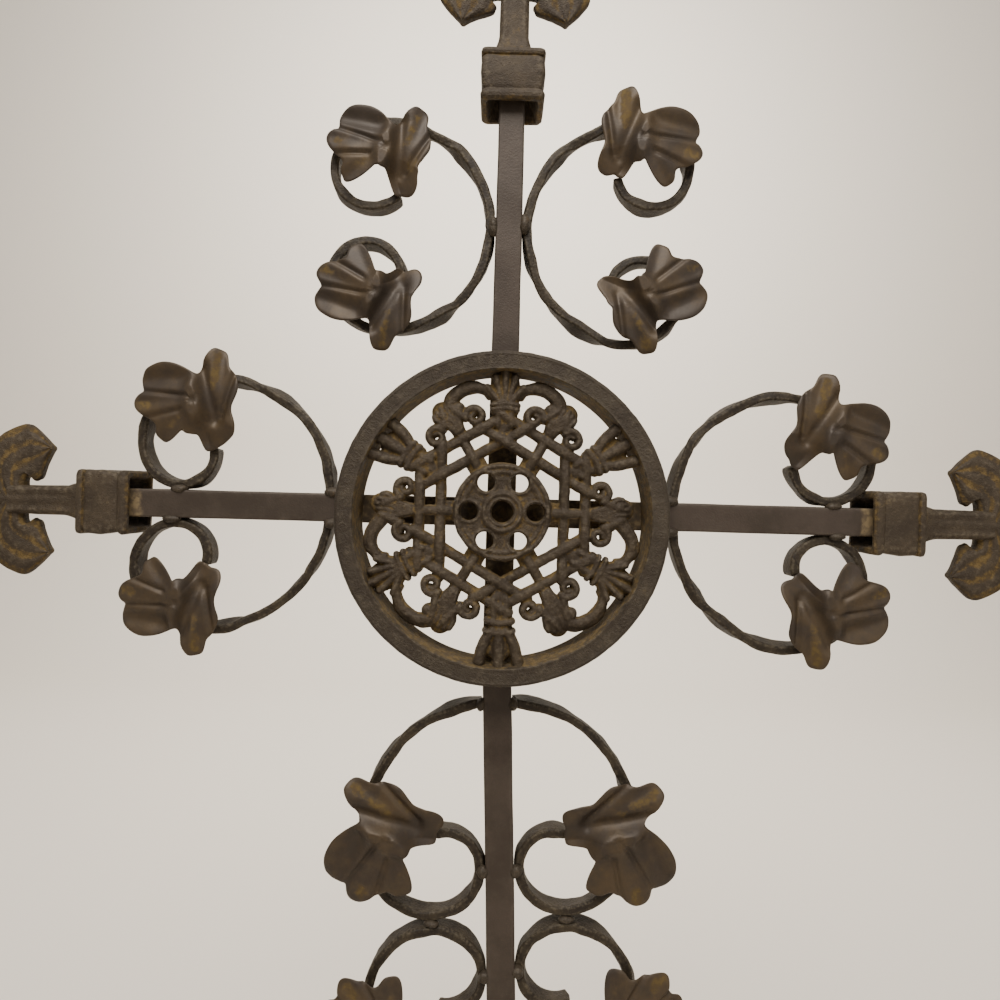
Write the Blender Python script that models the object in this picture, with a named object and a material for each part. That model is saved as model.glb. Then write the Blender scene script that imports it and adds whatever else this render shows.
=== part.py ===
import math

import bpy
import numpy as np

for old in list(bpy.data.objects):
    bpy.data.objects.remove(old, do_unlink=True)

# Sizes of the whole cross, measured from the middle of the crossing
FOOT_DROP = 0.700
BEND_DROP = 0.086
SHAFT_LEAN = math.radians(2.3)
TOP_MOUTH = 0.2295
ARM_MOUTH = 0.2070

# Bars
SHAFT_WIDTH = 0.0164
TOP_WIDTH = 0.0146
BAR_DEPTH = 0.0164
ARM_WIDTH = 0.0160
CORNER = 0.0010
GAP = 0.0003

# Scroll strips
STRIP_THICK = 0.0052
STRIP_DEPTH = 0.0120
LOWER_SPAN = 0.1400
TOP_CLEAR = 0.0085
ARM_CLEAR = 0.0035
ARM_ROOT_CLEAR = 0.0072
LOWER_ROOT_CLEAR = 0.0182
PAIR_GAP = 0.0035
RIPPLE_PITCH = 0.052
RIPPLE_TURN = math.radians(17.0)
ARM_STATIONS = 32
TOP_STATIONS = 30

# Leaves
LEAF_THICK = 0.0016
LEAF_RISE = 0.0095
LEAF_CLEAR = 0.0009
LEAF_SIZE = 0.0415
STALK_HALF = 0.0058

# Medallion
RING_RADIUS = 0.0903
RING_BAND = 0.0112
RING_DEPTH = 0.0235
RING_STEPS = 46
RING_DROP = 0.0035
MEDALLION_SHIFT = 0.0005
ROSETTE_RISE = 0.0009
BOSS_RADIUS = 0.0262
BOSS_HOLE = 0.0046
BOSS_HOLE_CIRCLE = 0.0182
EYE_HOLE = 0.0060
INNER_STRAP = 0.0335
OUTER_STRAP = 0.0450
STRAP_WIDTH = 0.0054
STRAP_THICK = 0.0080
STRAP_TAIL = 0.0052
PALMETTE_FOOT = 0.0480
PALMETTE_NECK = 0.0052
TIED_SPREAD = 0.0095
CLAW_SPREAD = 0.0100
ARCH_RADIUS = 0.0725
ARCH_HALF = 0.0033
ARCH_DIP = 0.0085
BALL_CIRCLE = 0.0700
LEVEL_BALL_CIRCLE = 0.0650
ARCH_SPAN = math.radians(24.0)
HUSK_HALF = 0.0068
HUSK_TIP = 0.0665
VOLUTE_RADIUS = 0.0062
VOLUTE_CIRCLE = 0.0540
VOLUTE_BEARING = math.radians(13.0)
WEB_HALF = 0.0060

# Finials
COLLAR_HALF = 0.0183
COLLAR_LENGTH = 0.0285
SOCKET_DEPTH = 0.0150
MOUTH_WALL = 0.0045
SOCKET_SLACK = 0.0009
NECK_HALF = 0.0086
NECK_LENGTH = 0.0440
PETAL_REACH = 0.0330
PETAL_HALF = 0.0160
SPEAR_HALF = 0.0150
SPEAR_LENGTH = 0.0460
FINIAL_DEPTH = 0.0150
CAP_THICK = 0.0040
ROOT_OVERLAP = 0.0030
TIP_HALF = 0.0012
COLLAR_CORNER = 0.0024


# Free lengths that the scrolls fill, and where their roots are
TOP_SPAN = TOP_MOUTH - TOP_CLEAR - RING_RADIUS
ARM_SPAN = ARM_MOUTH - ARM_CLEAR - RING_RADIUS
BELLY_RISE = RING_RADIUS + TOP_SPAN * 0.549
ARM_START = RING_RADIUS + ARM_ROOT_CLEAR
LOWER_START = RING_RADIUS + LOWER_ROOT_CLEAR


def scroll_end(span, sweep_radius, sweep, easing, eye_radius, tip_radius, eye):
    """Radii and lengths of one hand-bent scroll end, given as shares of the span it fills."""
    return {
        "radii": tuple(span * r for r in (sweep_radius, sweep_radius, eye_radius, tip_radius)),
        "runs": tuple(span * r for r in (0.0, sweep, sweep + easing, sweep + easing + eye)),
    }


TOP_ENDS = {
    "left upper": scroll_end(TOP_SPAN, 0.442, 0.627, 0.482, 0.155, 0.191, 0.337),
    "left lower": scroll_end(TOP_SPAN, 0.465, 0.566, 0.658, 0.155, 0.155, 0.337),
    "right upper": scroll_end(TOP_SPAN, 0.462, 0.689, 0.291, 0.175, 0.146, 0.559),
    "right lower": scroll_end(TOP_SPAN, 0.505, 0.528, 0.612, 0.160, 0.156, 0.383),
}
ARM_ENDS = {
    "left upper": scroll_end(ARM_SPAN, 0.551, 0.928, 0.654, 0.213, 0.138, 0.459),
    "left lower": scroll_end(ARM_SPAN, 0.655, 0.707, 0.654, 0.271, 0.142, 0.689),
    "right upper": scroll_end(ARM_SPAN, 0.553, 1.095, 0.406, 0.201, 0.193, 0.557),
    "right lower": scroll_end(ARM_SPAN, 0.715, 0.495, 0.875, 0.308, 0.130, 0.680),
}
LOWER_ENDS = {
    "left": scroll_end(LOWER_SPAN, 0.539, 0.714, 0.564, 0.221, 0.131, 0.557),
    "right": scroll_end(LOWER_SPAN, 0.501, 0.807, 0.607, 0.178, 0.125, 0.414),
}


def leaf_seat(bearing, distance, twist, size):
    """Where a leaf's hub sits from its strip end, in degrees and leaf sizes, and its own turn."""
    return {
        "bearing": math.radians(bearing), "distance": LEAF_SIZE * distance,
        "twist": math.radians(twist), "size": LEAF_SIZE * size,
    }


LEAF_SEATS = {
    "top left upper": leaf_seat(63.9, 0.530, -8.5, 0.94),
    "top left lower": leaf_seat(50.2, 0.434, -3.9, 0.96),
    "top right upper": leaf_seat(40.3, 0.470, 0.0, 0.96),
    "top right lower": leaf_seat(84.5, 0.506, -15.7, 0.97),
    "arm left upper": leaf_seat(-0.7, 0.629, 11.5, 0.96),
    "arm left lower": leaf_seat(8.1, 0.542, 2.3, 0.95),
    "arm right upper": leaf_seat(46.1, 0.639, 3.1, 0.96),
    "arm right lower": leaf_seat(21.7, 0.566, -0.3, 1.00),
    "lower left": leaf_seat(-26.2, 0.607, 1.3, 1.12),
    "lower right": leaf_seat(-35.0, 0.631, 8.0, 1.11),
    "foot left": leaf_seat(-38.0, 0.627, 0.0, 1.11),
    "foot right": leaf_seat(-52.0, 0.627, 0.0, 1.11),
}
# Direction, reach and half width of the lobes of the stamped leaf, in leaf sizes
LEAF_LOBES = (
    (-86.0, 0.61, 0.15), (-44.0, 0.79, 0.145), (36.0, 0.91, 0.26), (65.0, 0.98, 0.25),
    (102.0, 0.78, 0.19),
)
LEAF_WEB = 0.44
LEAF_THROAT = 0.24

FOOT_SHIFT = (FOOT_DROP - BEND_DROP) * math.tan(SHAFT_LEAN)
CROSSING = (-FOOT_SHIFT, 0.0, FOOT_DROP)
BEND = (-FOOT_SHIFT, 0.0, FOOT_DROP - BEND_DROP)
FRONT = -BAR_DEPTH / 2


def paint(name, colour, roughness, metallic):
    """A plain Principled material."""
    material = bpy.data.materials.new(name)
    material.use_nodes = True
    shader = material.node_tree.nodes["Principled BSDF"]
    shader.inputs["Base Color"].default_value = (*colour, 1.0)
    shader.inputs["Roughness"].default_value = roughness
    shader.inputs["Metallic"].default_value = metallic
    material.diffuse_color = (*colour, 1.0)
    return material


BAR_IRON = paint("bar_iron", (0.125, 0.098, 0.078), 0.62, 0.55)
CAST_IRON = paint("cast_iron", (0.105, 0.080, 0.062), 0.72, 0.45)
STRIP_IRON = paint("strip_iron", (0.095, 0.078, 0.055), 0.68, 0.45)
LEAF_IRON = paint("leaf_iron", (0.135, 0.105, 0.082), 0.50, 0.60)


def solid(name, points, faces, material, place=(0.0, 0.0, 0.0), turn=0.0):
    """A named object from points and faces, turned about the depth axis and placed."""
    name = name.replace(" ", "_")
    mesh = bpy.data.meshes.new(name)
    mesh.from_pydata([tuple(map(float, p)) for p in points], [], [tuple(f) for f in faces])
    mesh.validate()
    if material is not None:
        mesh.materials.append(material)
    thing = bpy.data.objects.new(name, mesh)
    bpy.context.collection.objects.link(thing)
    thing.location = place
    thing.rotation_euler = (0.0, turn, 0.0)
    return thing


def skin(rings):
    """Faces over a stack of equal rings with both ends closed, turned outward."""
    rings = [np.asarray(ring, float) for ring in rings]
    count, around = len(rings), len(rings[0])
    points = np.concatenate(rings)
    faces = [tuple(range(around))[::-1], tuple(range((count - 1) * around, count * around))]
    for i in range(count - 1):
        for j in range(around):
            k = (j + 1) % around
            faces.append((i * around + j, i * around + k, (i + 1) * around + k, (i + 1) * around + j))
    return outward(points, faces)


def outward(points, faces):
    """Turn the faces over when the volume they enclose comes out negative."""
    volume = 0.0
    for face in faces:
        for j in range(1, len(face) - 1):
            a, b, c = points[face[0]], points[face[j]], points[face[j + 1]]
            volume += float(np.dot(a, np.cross(b, c)))
    if volume < 0.0:
        faces = [tuple(reversed(face)) for face in faces]
    return points, faces


def eight_sided(half_across, half_deep, corner):
    """Corners of a rectangle with small chamfers, as across and depth pairs."""
    a, d, c = half_across, half_deep, corner
    return [(a, -d + c), (a, d - c), (a - c, d), (-a + c, d),
            (-a, d - c), (-a, -d + c), (-a + c, -d), (a - c, -d)]


def merge(pieces):
    """Several closed skins as one list of points and faces."""
    points, faces, base = [], [], 0
    for some_points, some_faces in pieces:
        points.extend(some_points)
        faces.extend(tuple(base + i for i in face) for face in some_faces)
        base += len(some_points)
    return points, faces


def cut(thing, cutter, operation, own_overlaps=False):
    """Join or cut one object by another, which stays hidden."""
    step = thing.modifiers.new(operation.lower(), "BOOLEAN")
    step.object = cutter
    step.operation = operation
    step.solver = "EXACT"
    step.use_self = own_overlaps
    cutter.hide_render = True
    cutter.display_type = "WIRE"


def shaft_half(height):
    """Half width of the upright at a height above the crossing."""
    share = min(max(height / TOP_MOUTH, 0.0), 1.0)
    return (SHAFT_WIDTH + (TOP_WIDTH - SHAFT_WIDTH) * share) / 2


def box(low, high):
    """Points and faces of an upright box between two corners."""
    (x0, y0, z0), (x1, y1, z1) = low, high
    rings = [[(x0, y0, z), (x1, y0, z), (x1, y1, z), (x0, y1, z)] for z in (z0, z1)]
    return skin(rings)


# Upright and crossbar, halved into each other behind the medallion
TOP_END = TOP_MOUTH + SOCKET_DEPTH - GAP
ARM_END = ARM_MOUTH + SOCKET_DEPTH - GAP


def upright():
    """The square upright, bent a little behind the lower edge of the medallion."""
    stations = [
        (FOOT_SHIFT, -FOOT_DROP), (0.0, -BEND_DROP), (0.0, 0.0), (0.0, TOP_END),
    ]
    rings = []
    for across, height in stations:
        half = shaft_half(height)
        rings.append([(across + x, y, height) for x, y in eight_sided(half, BAR_DEPTH / 2, CORNER)])
    bar = solid("upright", *skin(rings), BAR_IRON, CROSSING)
    reach, half = SHAFT_WIDTH, ARM_WIDTH / 2 + GAP
    notch = solid("upright notch", *box((-reach, -BAR_DEPTH, -half), (reach, GAP / 2, half)),
                  None, CROSSING)
    cut(bar, notch, "DIFFERENCE")


def crossbar():
    """The square crossbar, level, through both arms."""
    rings = []
    for across in (-ARM_END, ARM_END):
        rings.append([(across, y, z) for z, y in eight_sided(ARM_WIDTH / 2, BAR_DEPTH / 2, CORNER)])
    bar = solid("crossbar", *skin(rings), BAR_IRON, CROSSING)
    half, reach = SHAFT_WIDTH / 2 + GAP, ARM_WIDTH
    notch = solid("crossbar notch", *box((-half, -GAP / 2, -reach), (half, BAR_DEPTH, reach)),
                  None, CROSSING)
    cut(bar, notch, "DIFFERENCE")


def end_line(shape, heading=0.0, start=(0.0, 0.0), fine=600):
    """Centre line of a scroll end: length, position ahead and aside, and heading.

    The curvature keeps one value over the sweep, grows evenly over the easing
    and runs evenly on to the tip. Its integral is the heading, and the integral
    of the heading's cosine and sine is the position.
    """
    total = shape["runs"][-1]
    run = np.linspace(0.0, total, fine)
    curve = np.interp(run, shape["runs"], [1.0 / r for r in shape["radii"]])
    step = run[1] - run[0]
    turned = heading + np.concatenate([[0.0], np.cumsum((curve[1:] + curve[:-1]) / 2) * step])
    middle = (turned[1:] + turned[:-1]) / 2
    ahead = start[0] + np.concatenate([[0.0], np.cumsum(np.cos(middle)) * step])
    aside = start[1] + np.concatenate([[0.0], np.cumsum(np.sin(middle)) * step])
    return run, ahead, aside, turned


def leaning_heading(shape, bar_half):
    """Heading at the root that lets the eye of the scroll rest on the bar."""
    rest = bar_half + GAP + STRIP_THICK / 2
    low, high = math.radians(-35.0), math.radians(45.0)
    for _ in range(40):
        heading = (low + high) / 2
        root = bar_half + GAP + abs(math.sin(heading)) * STRIP_THICK / 2
        ahead = end_line(shape, heading, (root, 0.0))[1]
        if ahead[len(ahead) // 2:].min() > rest:
            low = heading
        else:
            high = heading
    return heading


def thin_out(line, count):
    """Stations along a line, closer together where it turns more."""
    run, ahead, aside, turned = line
    pace = run / run[-1] * 0.55 + (turned - turned[0]) / (turned[-1] - turned[0]) * 0.45
    wanted = np.interp(np.linspace(0.0, 1.0, count), pace, run)
    return (wanted, np.interp(wanted, run, ahead), np.interp(wanted, run, aside),
            np.interp(wanted, run, turned))


def ripple(run, shape):
    """Twist of the strip about its own line: a wave over the sweep that dies out at both ends."""
    fade_end = shape["runs"][2] * 0.92
    share = np.clip(run / fade_end, 0.0, 1.0)
    return RIPPLE_TURN * np.sin(share * math.pi) ** 0.7 * np.sin(run / RIPPLE_PITCH * math.tau)


def strip_rings(ahead, aside, turned, twist, to_plane):
    """Four-cornered sections of the strip along its line, as x, y, z points."""
    rings = []
    for a, b, h, t in zip(ahead, aside, turned, twist):
        ring = []
        for n, y in ((1, -1), (1, 1), (-1, 1), (-1, -1)):
            off, deep = n * STRIP_THICK / 2, y * STRIP_DEPTH / 2
            out = off * math.cos(t) - deep * math.sin(t)
            back = off * math.sin(t) + deep * math.cos(t)
            x, z = to_plane(a - math.sin(h) * out, b + math.cos(h) * out)
            ring.append((x, back, z))
        rings.append(ring)
    return rings


def tongue(angle, length, half):
    """Distance from the hub to the edge of a round-ended tongue in a direction off its axis."""
    slip = abs(math.sin(angle))
    centre = length - half
    if math.cos(angle) <= 0.0:
        return 0.0
    if centre * slip < half:
        reach = centre * math.cos(angle) + math.sqrt(half ** 2 - (centre * slip) ** 2)
    else:
        reach = 0.0
    side = half / slip if slip > 1e-9 else reach
    return max(reach, min(side, centre / math.cos(angle)) if slip > 1e-9 else reach)


def leaf_reach(angle, seat):
    """Outline of the stamped leaf about its hub, as a distance for a direction."""
    size = seat["size"]
    best = size * LEAF_THROAT
    for lean, length, half in LEAF_LOBES:
        off = (angle - math.radians(lean) - seat["twist"] + math.pi) % math.tau - math.pi
        best = max(best, tongue(off, length * size, half * size))
    behind = (angle + math.tau) % math.tau - math.pi
    if 0.0 < behind < math.radians(90.0):
        best = max(best, size * LEAF_WEB)
    return max(best, tongue(behind, seat["distance"] + STRIP_THICK / 2, STALK_HALF))


def leaf(name, tip, heading, to_plane, place, lean):
    """A stamped five-lobed leaf that rides in front of its scroll from the strip's tip."""
    seat = LEAF_SEATS[name]
    axis = heading + seat["bearing"]
    hub = (tip[0] + math.cos(axis) * seat["distance"], tip[1] + math.sin(axis) * seat["distance"])
    rim = -(STRIP_DEPTH / 2 + LEAF_CLEAR)
    turn = math.degrees(seat["twist"])
    leans = sorted([one + turn for one, _, _ in LEAF_LOBES] + [180.0])
    angles = []
    for i, one in enumerate(leans):
        after = leans[(i + 1) % len(leans)] + (360.0 if i == len(leans) - 1 else 0.0)
        angles += [one + (after - one) * share for share in (0.0, 0.15, 0.32, 0.5, 0.68, 0.85)]
    angles = [math.radians(a) for a in angles]
    around, inside = len(angles), len(angles) // 3
    front, back = [], []
    for share, every in ((1.0, 1), (0.55, 3)):
        for j in range(0, around, every):
            angle = angles[j]
            reach = leaf_reach(angle, seat) * share
            x, z = to_plane(hub[0] + math.cos(axis + angle) * reach,
                            hub[1] + math.sin(axis + angle) * reach)
            height = max(1.0 - reach / seat["size"], 0.0)
            if share == 1.0:
                from_stalk = abs((angle + math.tau) % math.tau - math.pi)
                height *= min(from_stalk / math.radians(40.0), 1.0)
            y = rim - LEAF_RISE * height
            back.append((x, y, z))
            front.append((x, y - LEAF_THICK, z))
    x, z = to_plane(*hub)
    back.append((x, rim - LEAF_RISE, z))
    front.append((x, rim - LEAF_RISE - LEAF_THICK, z))
    total = len(front)
    points = np.array(front + back)
    faces = []
    for side, flip in ((0, False), (total, True)):
        for j in range(inside):
            k = (j + 1) % inside
            a, b, c, d = (3 * j + i for i in range(4))
            d = d % around
            m, n = around + j, around + k
            for face in ((a, b, m), (b, c, m), (c, n, m), (c, d, n), (m, n, total - 1)):
                face = tuple(side + i for i in face)
                faces.append(face[::-1] if flip else face)
    for j in range(around):
        k = (j + 1) % around
        faces.append((j, total + j, total + k, k))
    solid(name + " leaf", *outward(points, faces), LEAF_IRON, place, lean)


def top_scrolls():
    """A C scroll on each side of the upright above the medallion, with a leaf on each tip."""
    for side, sign in (("left", -1), ("right", 1)):
        belly = shaft_half(BELLY_RISE) + GAP + STRIP_THICK / 2
        halves = []
        for end, way in (("upper", 1), ("lower", -1)):
            shape = TOP_ENDS[side + " " + end]
            line = end_line(shape, 0.0, (0.0, belly))
            run, ahead, aside, turned = thin_out(line, TOP_STATIONS)
            twist = ripple(run, shape)

            def to_plane(a, b, way=way):
                return sign * b, BELLY_RISE + way * a

            halves.append(strip_rings(ahead, aside, turned, twist, to_plane))
            leaf("top " + side + " " + end, (ahead[-1], aside[-1]), turned[-1], to_plane,
                 CROSSING, 0.0)
        upper, lower = halves
        rings = lower[:0:-1] + upper
        solid("top " + side + " scroll", *skin(rings), STRIP_IRON, CROSSING)


def arm_scrolls():
    """Four scrolls that run from the medallion's edge to rest on the crossbar."""
    for side, sign in (("left", -1), ("right", 1)):
        for end, way in (("upper", 1), ("lower", -1)):
            shape = ARM_ENDS[side + " " + end]
            half = ARM_WIDTH / 2
            heading = leaning_heading(shape, half)
            root = half + GAP + abs(math.sin(heading)) * STRIP_THICK / 2
            line = end_line(shape, heading, (root, ARM_START))
            run, ahead, aside, turned = thin_out(line, ARM_STATIONS)

            def to_plane(a, b, way=way, sign=sign):
                return sign * b, way * a

            rings = strip_rings(ahead, aside, turned, ripple(run, shape), to_plane)
            solid("arm " + side + " " + end + " scroll", *skin(rings), STRIP_IRON, CROSSING)
            leaf("arm " + side + " " + end, (ahead[-1], aside[-1]), turned[-1], to_plane,
                 CROSSING, 0.0)


def lower_scrolls():
    """Two pairs of scrolls on the shaft below the medallion, the second a mirror of the first."""
    for side, sign in (("left", -1), ("right", 1)):
        shape = LOWER_ENDS[side]
        half = SHAFT_WIDTH / 2
        heading = leaning_heading(shape, half)
        root = half + GAP + abs(math.sin(heading)) * STRIP_THICK / 2
        line = end_line(shape, heading, (root, LOWER_START))
        run, ahead, aside, turned = thin_out(line, ARM_STATIONS)
        deepest = line[2].max() + STRIP_THICK / 2
        middle = deepest + PAIR_GAP / 2
        for pair, mirrored in (("lower", False), ("foot", True)):

            def to_plane(a, b, sign=sign, mirrored=mirrored):
                down = 2 * middle - b if mirrored else b
                return sign * a, BEND_DROP - down

            rings = strip_rings(ahead, aside, turned, ripple(run, shape), to_plane)
            solid(pair + " " + side + " scroll", *skin(rings), STRIP_IRON, BEND, -SHAFT_LEAN)
            leaf(pair + " " + side, (ahead[-1], aside[-1]), turned[-1], to_plane,
                 BEND, -SHAFT_LEAN)


def turned_ring(profile, steps):
    """Points and faces of a closed ring from radius and depth pairs, set a little low."""
    count = len(profile)
    points, faces = [], []
    for i in range(steps):
        angle = math.tau * i / steps
        points += [(r * math.cos(angle), y, r * math.sin(angle) - RING_DROP) for r, y in profile]
    for i in range(steps):
        n = (i + 1) % steps
        for j in range(count):
            k = (j + 1) % count
            faces.append((i * count + j, i * count + k, n * count + k, n * count + j))
    return outward(np.array(points), faces)


def prism(outline, front, back):
    """A flat plate of the given outline between two depths."""
    rings = [[(x, y, z) for x, z in outline] for y in (front, back)]
    return skin(rings)


def turned_outline(outline, angle):
    """An outline given as out and across, turned to point in a direction."""
    c, s = math.cos(angle), math.sin(angle)
    return [(o * c - a * s, o * s + a * c) for o, a in outline]


def round_outline(radius, centre, sides):
    """A round outline about a point given as x and z."""
    return [(centre[0] + radius * math.cos(math.tau * (i + 0.5) / sides),
             centre[1] + radius * math.sin(math.tau * (i + 0.5) / sides)) for i in range(sides)]


def medallion():
    """The heavy ring with the interlaced rosette inside it, one casting."""
    back = FRONT - GAP
    front = back - RING_DEPTH
    inner = RING_RADIUS - RING_BAND
    middle_place = (CROSSING[0] + MEDALLION_SHIFT, 0.0, CROSSING[2] + ROSETTE_RISE)
    edge = RING_BAND * 0.30
    ring = solid("medallion", *turned_ring([
        (RING_RADIUS, back), (RING_RADIUS, front + edge), (RING_RADIUS - edge, front),
        (inner + edge * 0.3, front), (inner - edge * 0.2, back),
    ], RING_STEPS), CAST_IRON, middle_place)
    middle = front + RING_DEPTH * 0.22
    pieces = []

    def plate(outline, axis, rise, depth):
        """A flat part of the rosette, its face so far behind the straps in shares of their depth."""
        face = middle + STRAP_THICK * rise
        pieces.append(prism(turned_outline(outline, axis), face, face + STRAP_THICK * depth))

    crossing = (OUTER_STRAP - INNER_STRAP * math.cos(math.radians(60.0))) / math.sin(math.radians(60.0))
    corner = OUTER_STRAP * math.tan(math.radians(30.0))
    for k in range(6):
        for distance, half, rise in ((INNER_STRAP, crossing + STRAP_WIDTH, 0.0),
                                     (OUTER_STRAP, corner + STRAP_TAIL, 0.04)):
            width = STRAP_WIDTH / 2
            bar = [(distance - width, -half), (distance + width, -half),
                   (distance + width, half), (distance - width, half)]
            plate(bar, math.radians(60.0 * k), rise + 0.09 * (k % 2), 1.0)
    for k in range(6):
        axis = math.radians(30.0 + 60.0 * k)
        tied = k % 2 == 1
        reach = inner + RING_BAND * 0.42 - RING_DROP * math.sin(axis)
        spread = TIED_SPREAD if tied else CLAW_SPREAD
        neck = PALMETTE_NECK
        fan = [(PALMETTE_FOOT, -neck), (PALMETTE_FOOT + 2 * neck, -neck), (reach - 1.5 * neck, -spread),
               (reach, -spread * 0.75), (reach, spread * 0.75), (reach - 1.5 * neck, spread),
               (PALMETTE_FOOT + 2 * neck, neck), (PALMETTE_FOOT, neck)]
        plate(fan, axis, -0.14, 1.1)
        if not tied:
            continue
        for way in (-1, 1):
            rings = []
            level = abs(math.sin(axis + way * math.radians(30.0))) < 0.5
            ball = LEVEL_BALL_CIRCLE if level else BALL_CIRCLE
            for i in range(5):
                share = i / 4
                angle = axis + way * ARCH_SPAN * (0.08 + share)
                dip = ARCH_DIP if share < 0.5 else ARCH_RADIUS - ball
                out = ARCH_RADIUS - dip * (2 * share - 1) ** 2 - RING_DROP * math.sin(angle)
                half_wide = ARCH_HALF * (1.0 + 0.47 * share ** 3)
                corners = ((half_wide, 0.0), (half_wide, 1.0), (-half_wide, 1.0), (-half_wide, 0.0))
                rings.append([((out + w) * math.cos(angle),
                               middle + STRAP_THICK * (0.9 * d - 0.05),
                               (out + w) * math.sin(angle)) for w, d in corners])
            pieces.append(skin(rings))
    for k in range(6):
        axis = math.radians(60.0 * k)
        tip = HUSK_TIP - RING_DROP * math.sin(axis)
        shoulder = tip - HUSK_HALF * 0.56
        husk = [(OUTER_STRAP, -HUSK_HALF * 0.45), (shoulder, -HUSK_HALF), (tip, 0.0),
                (shoulder, HUSK_HALF), (OUTER_STRAP, HUSK_HALF * 0.45)]
        plate(husk, axis, 0.125, 0.875)
        for way in (-1, 1):
            angle = axis + way * VOLUTE_BEARING
            centre = (VOLUTE_CIRCLE * math.cos(angle), VOLUTE_CIRCLE * math.sin(angle))
            plate(round_outline(VOLUTE_RADIUS, centre, 6), 0.0, 0.175, 0.775)
        web = [(BOSS_RADIUS - WEB_HALF / 3, -WEB_HALF), (INNER_STRAP, -WEB_HALF),
               (INNER_STRAP, WEB_HALF), (BOSS_RADIUS - WEB_HALF / 3, WEB_HALF)]
        plate(web, axis, 0.31, 0.49)
    plate(round_outline(BOSS_RADIUS, (0.0, 0.0), 24), 0.0, -0.275, 1.125)
    rosette = solid("rosette pieces", *merge(pieces), None, middle_place)
    cut(ring, rosette, "UNION", True)
    holes = [prism(round_outline(EYE_HOLE, (0.0, 0.0), 10), front - 0.002, back + 0.002)]
    for k in range(6):
        angle = math.radians(60.0 * k)
        centre = (BOSS_HOLE_CIRCLE * math.cos(angle), BOSS_HOLE_CIRCLE * math.sin(angle))
        holes.append(prism(round_outline(BOSS_HOLE, centre, 8), front - 0.002, back + 0.002))
    piercing = solid("boss holes", *merge(holes), None, middle_place)
    cut(ring, piercing, "DIFFERENCE")


def finial(name, mouth, bar_half, turn):
    """A cast end piece: socket collar, neck, two drooping petals and a pointed middle leaf."""
    half, deep = COLLAR_HALF, COLLAR_HALF * 0.92
    top = mouth + COLLAR_LENGTH
    hollow = bar_half + SOCKET_SLACK
    hollow_deep = BAR_DEPTH / 2 + SOCKET_SLACK
    floor = mouth + SOCKET_DEPTH

    def ring(height, across, depth, corner=COLLAR_CORNER):
        return [(x, y, height) for x, y in eight_sided(across, depth, corner)]

    collar = [
        ring(floor, hollow, hollow_deep, CORNER),
        ring(mouth, half - MOUTH_WALL, deep - MOUTH_WALL),
        ring(mouth, half * 0.95, deep * 0.95),
        ring(mouth + COLLAR_LENGTH * 0.11, half, deep),
        ring(mouth + COLLAR_LENGTH * 0.21, half * 0.89, deep * 0.92),
        ring(mouth + COLLAR_LENGTH * 0.52, half, deep),
        ring(top - CAP_THICK, half * 0.93, deep * 0.93), ring(top - CAP_THICK * 0.9, half, deep),
        ring(top, half * 0.95, deep * 0.95),
    ]
    body = solid(name, *skin(collar), CAST_IRON, CROSSING, turn)

    pieces = []
    neck_top = top + NECK_LENGTH
    slim = FINIAL_DEPTH / 2
    pieces.append(skin([
        ring(top - ROOT_OVERLAP, NECK_HALF * 1.36, slim * 1.25),
        ring(top + NECK_LENGTH * 0.24, NECK_HALF, slim),
        ring(neck_top, NECK_HALF * 0.96, slim * 0.95),
    ]))
    spear = []
    for i in range(6):
        share = i / 5
        wide = SPEAR_HALF * (0.36 + 0.64 * math.sin(math.pi * min(share * 1.25, 1.0)) ** 0.8)
        wide = wide * (1.0 - share ** 3) + TIP_HALF
        depth = slim * (0.82 - 0.45 * share ** 2)
        height = neck_top - ROOT_OVERLAP + (SPEAR_LENGTH + ROOT_OVERLAP) * share
        spear.append(ring(height, wide, depth, TIP_HALF * 0.75))
    pieces.append(skin(spear))
    for way in (-1, 1):
        rings = []
        knots = ((0.0, neck_top - ROOT_OVERLAP), (PETAL_REACH * 0.74, neck_top + PETAL_REACH * 0.34),
                 (PETAL_REACH * 0.84, neck_top - PETAL_REACH * 0.30),
                 (PETAL_REACH * 0.90, top + NECK_LENGTH * 0.50))
        for i in range(6):
            t = 1.0 - (1.0 - i / 5) ** 1.5
            w = ((1 - t) ** 3, 3 * t * (1 - t) ** 2, 3 * t * t * (1 - t), t ** 3)
            slope = (-3 * (1 - t) ** 2, 3 * (1 - t) * (1 - 3 * t), 3 * t * (2 - 3 * t), 3 * t * t)
            x = sum(k[0] * f for k, f in zip(knots, w))
            z = sum(k[1] * f for k, f in zip(knots, w))
            dx = sum(k[0] * f for k, f in zip(knots, slope))
            dz = sum(k[1] * f for k, f in zip(knots, slope))
            size = math.hypot(dx, dz)
            nx, nz = -dz / size, dx / size
            wide = PETAL_HALF * min(0.30 + 1.60 * t, 1.0, 4.2 * (1.0 - t)) + TIP_HALF
            depth = slim * (0.90 - 0.35 * t)
            section = eight_sided(wide, depth, min(wide, depth) * 0.45)
            rings.append([(way * (x + nx * a), y, z + nz * a) for a, y in section])
        pieces.append(skin(rings))
    flower = solid(name + " flower", *merge(pieces), None, CROSSING, turn)
    cut(body, flower, "UNION", True)


upright()
crossbar()
medallion()
top_scrolls()
arm_scrolls()
lower_scrolls()
finial("top finial", TOP_MOUTH, TOP_WIDTH / 2, 0.0)
finial("right finial", ARM_MOUTH, ARM_WIDTH / 2, math.radians(90.0))
finial("left finial", ARM_MOUTH, ARM_WIDTH / 2, math.radians(-90.0))
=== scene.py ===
import math

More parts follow.
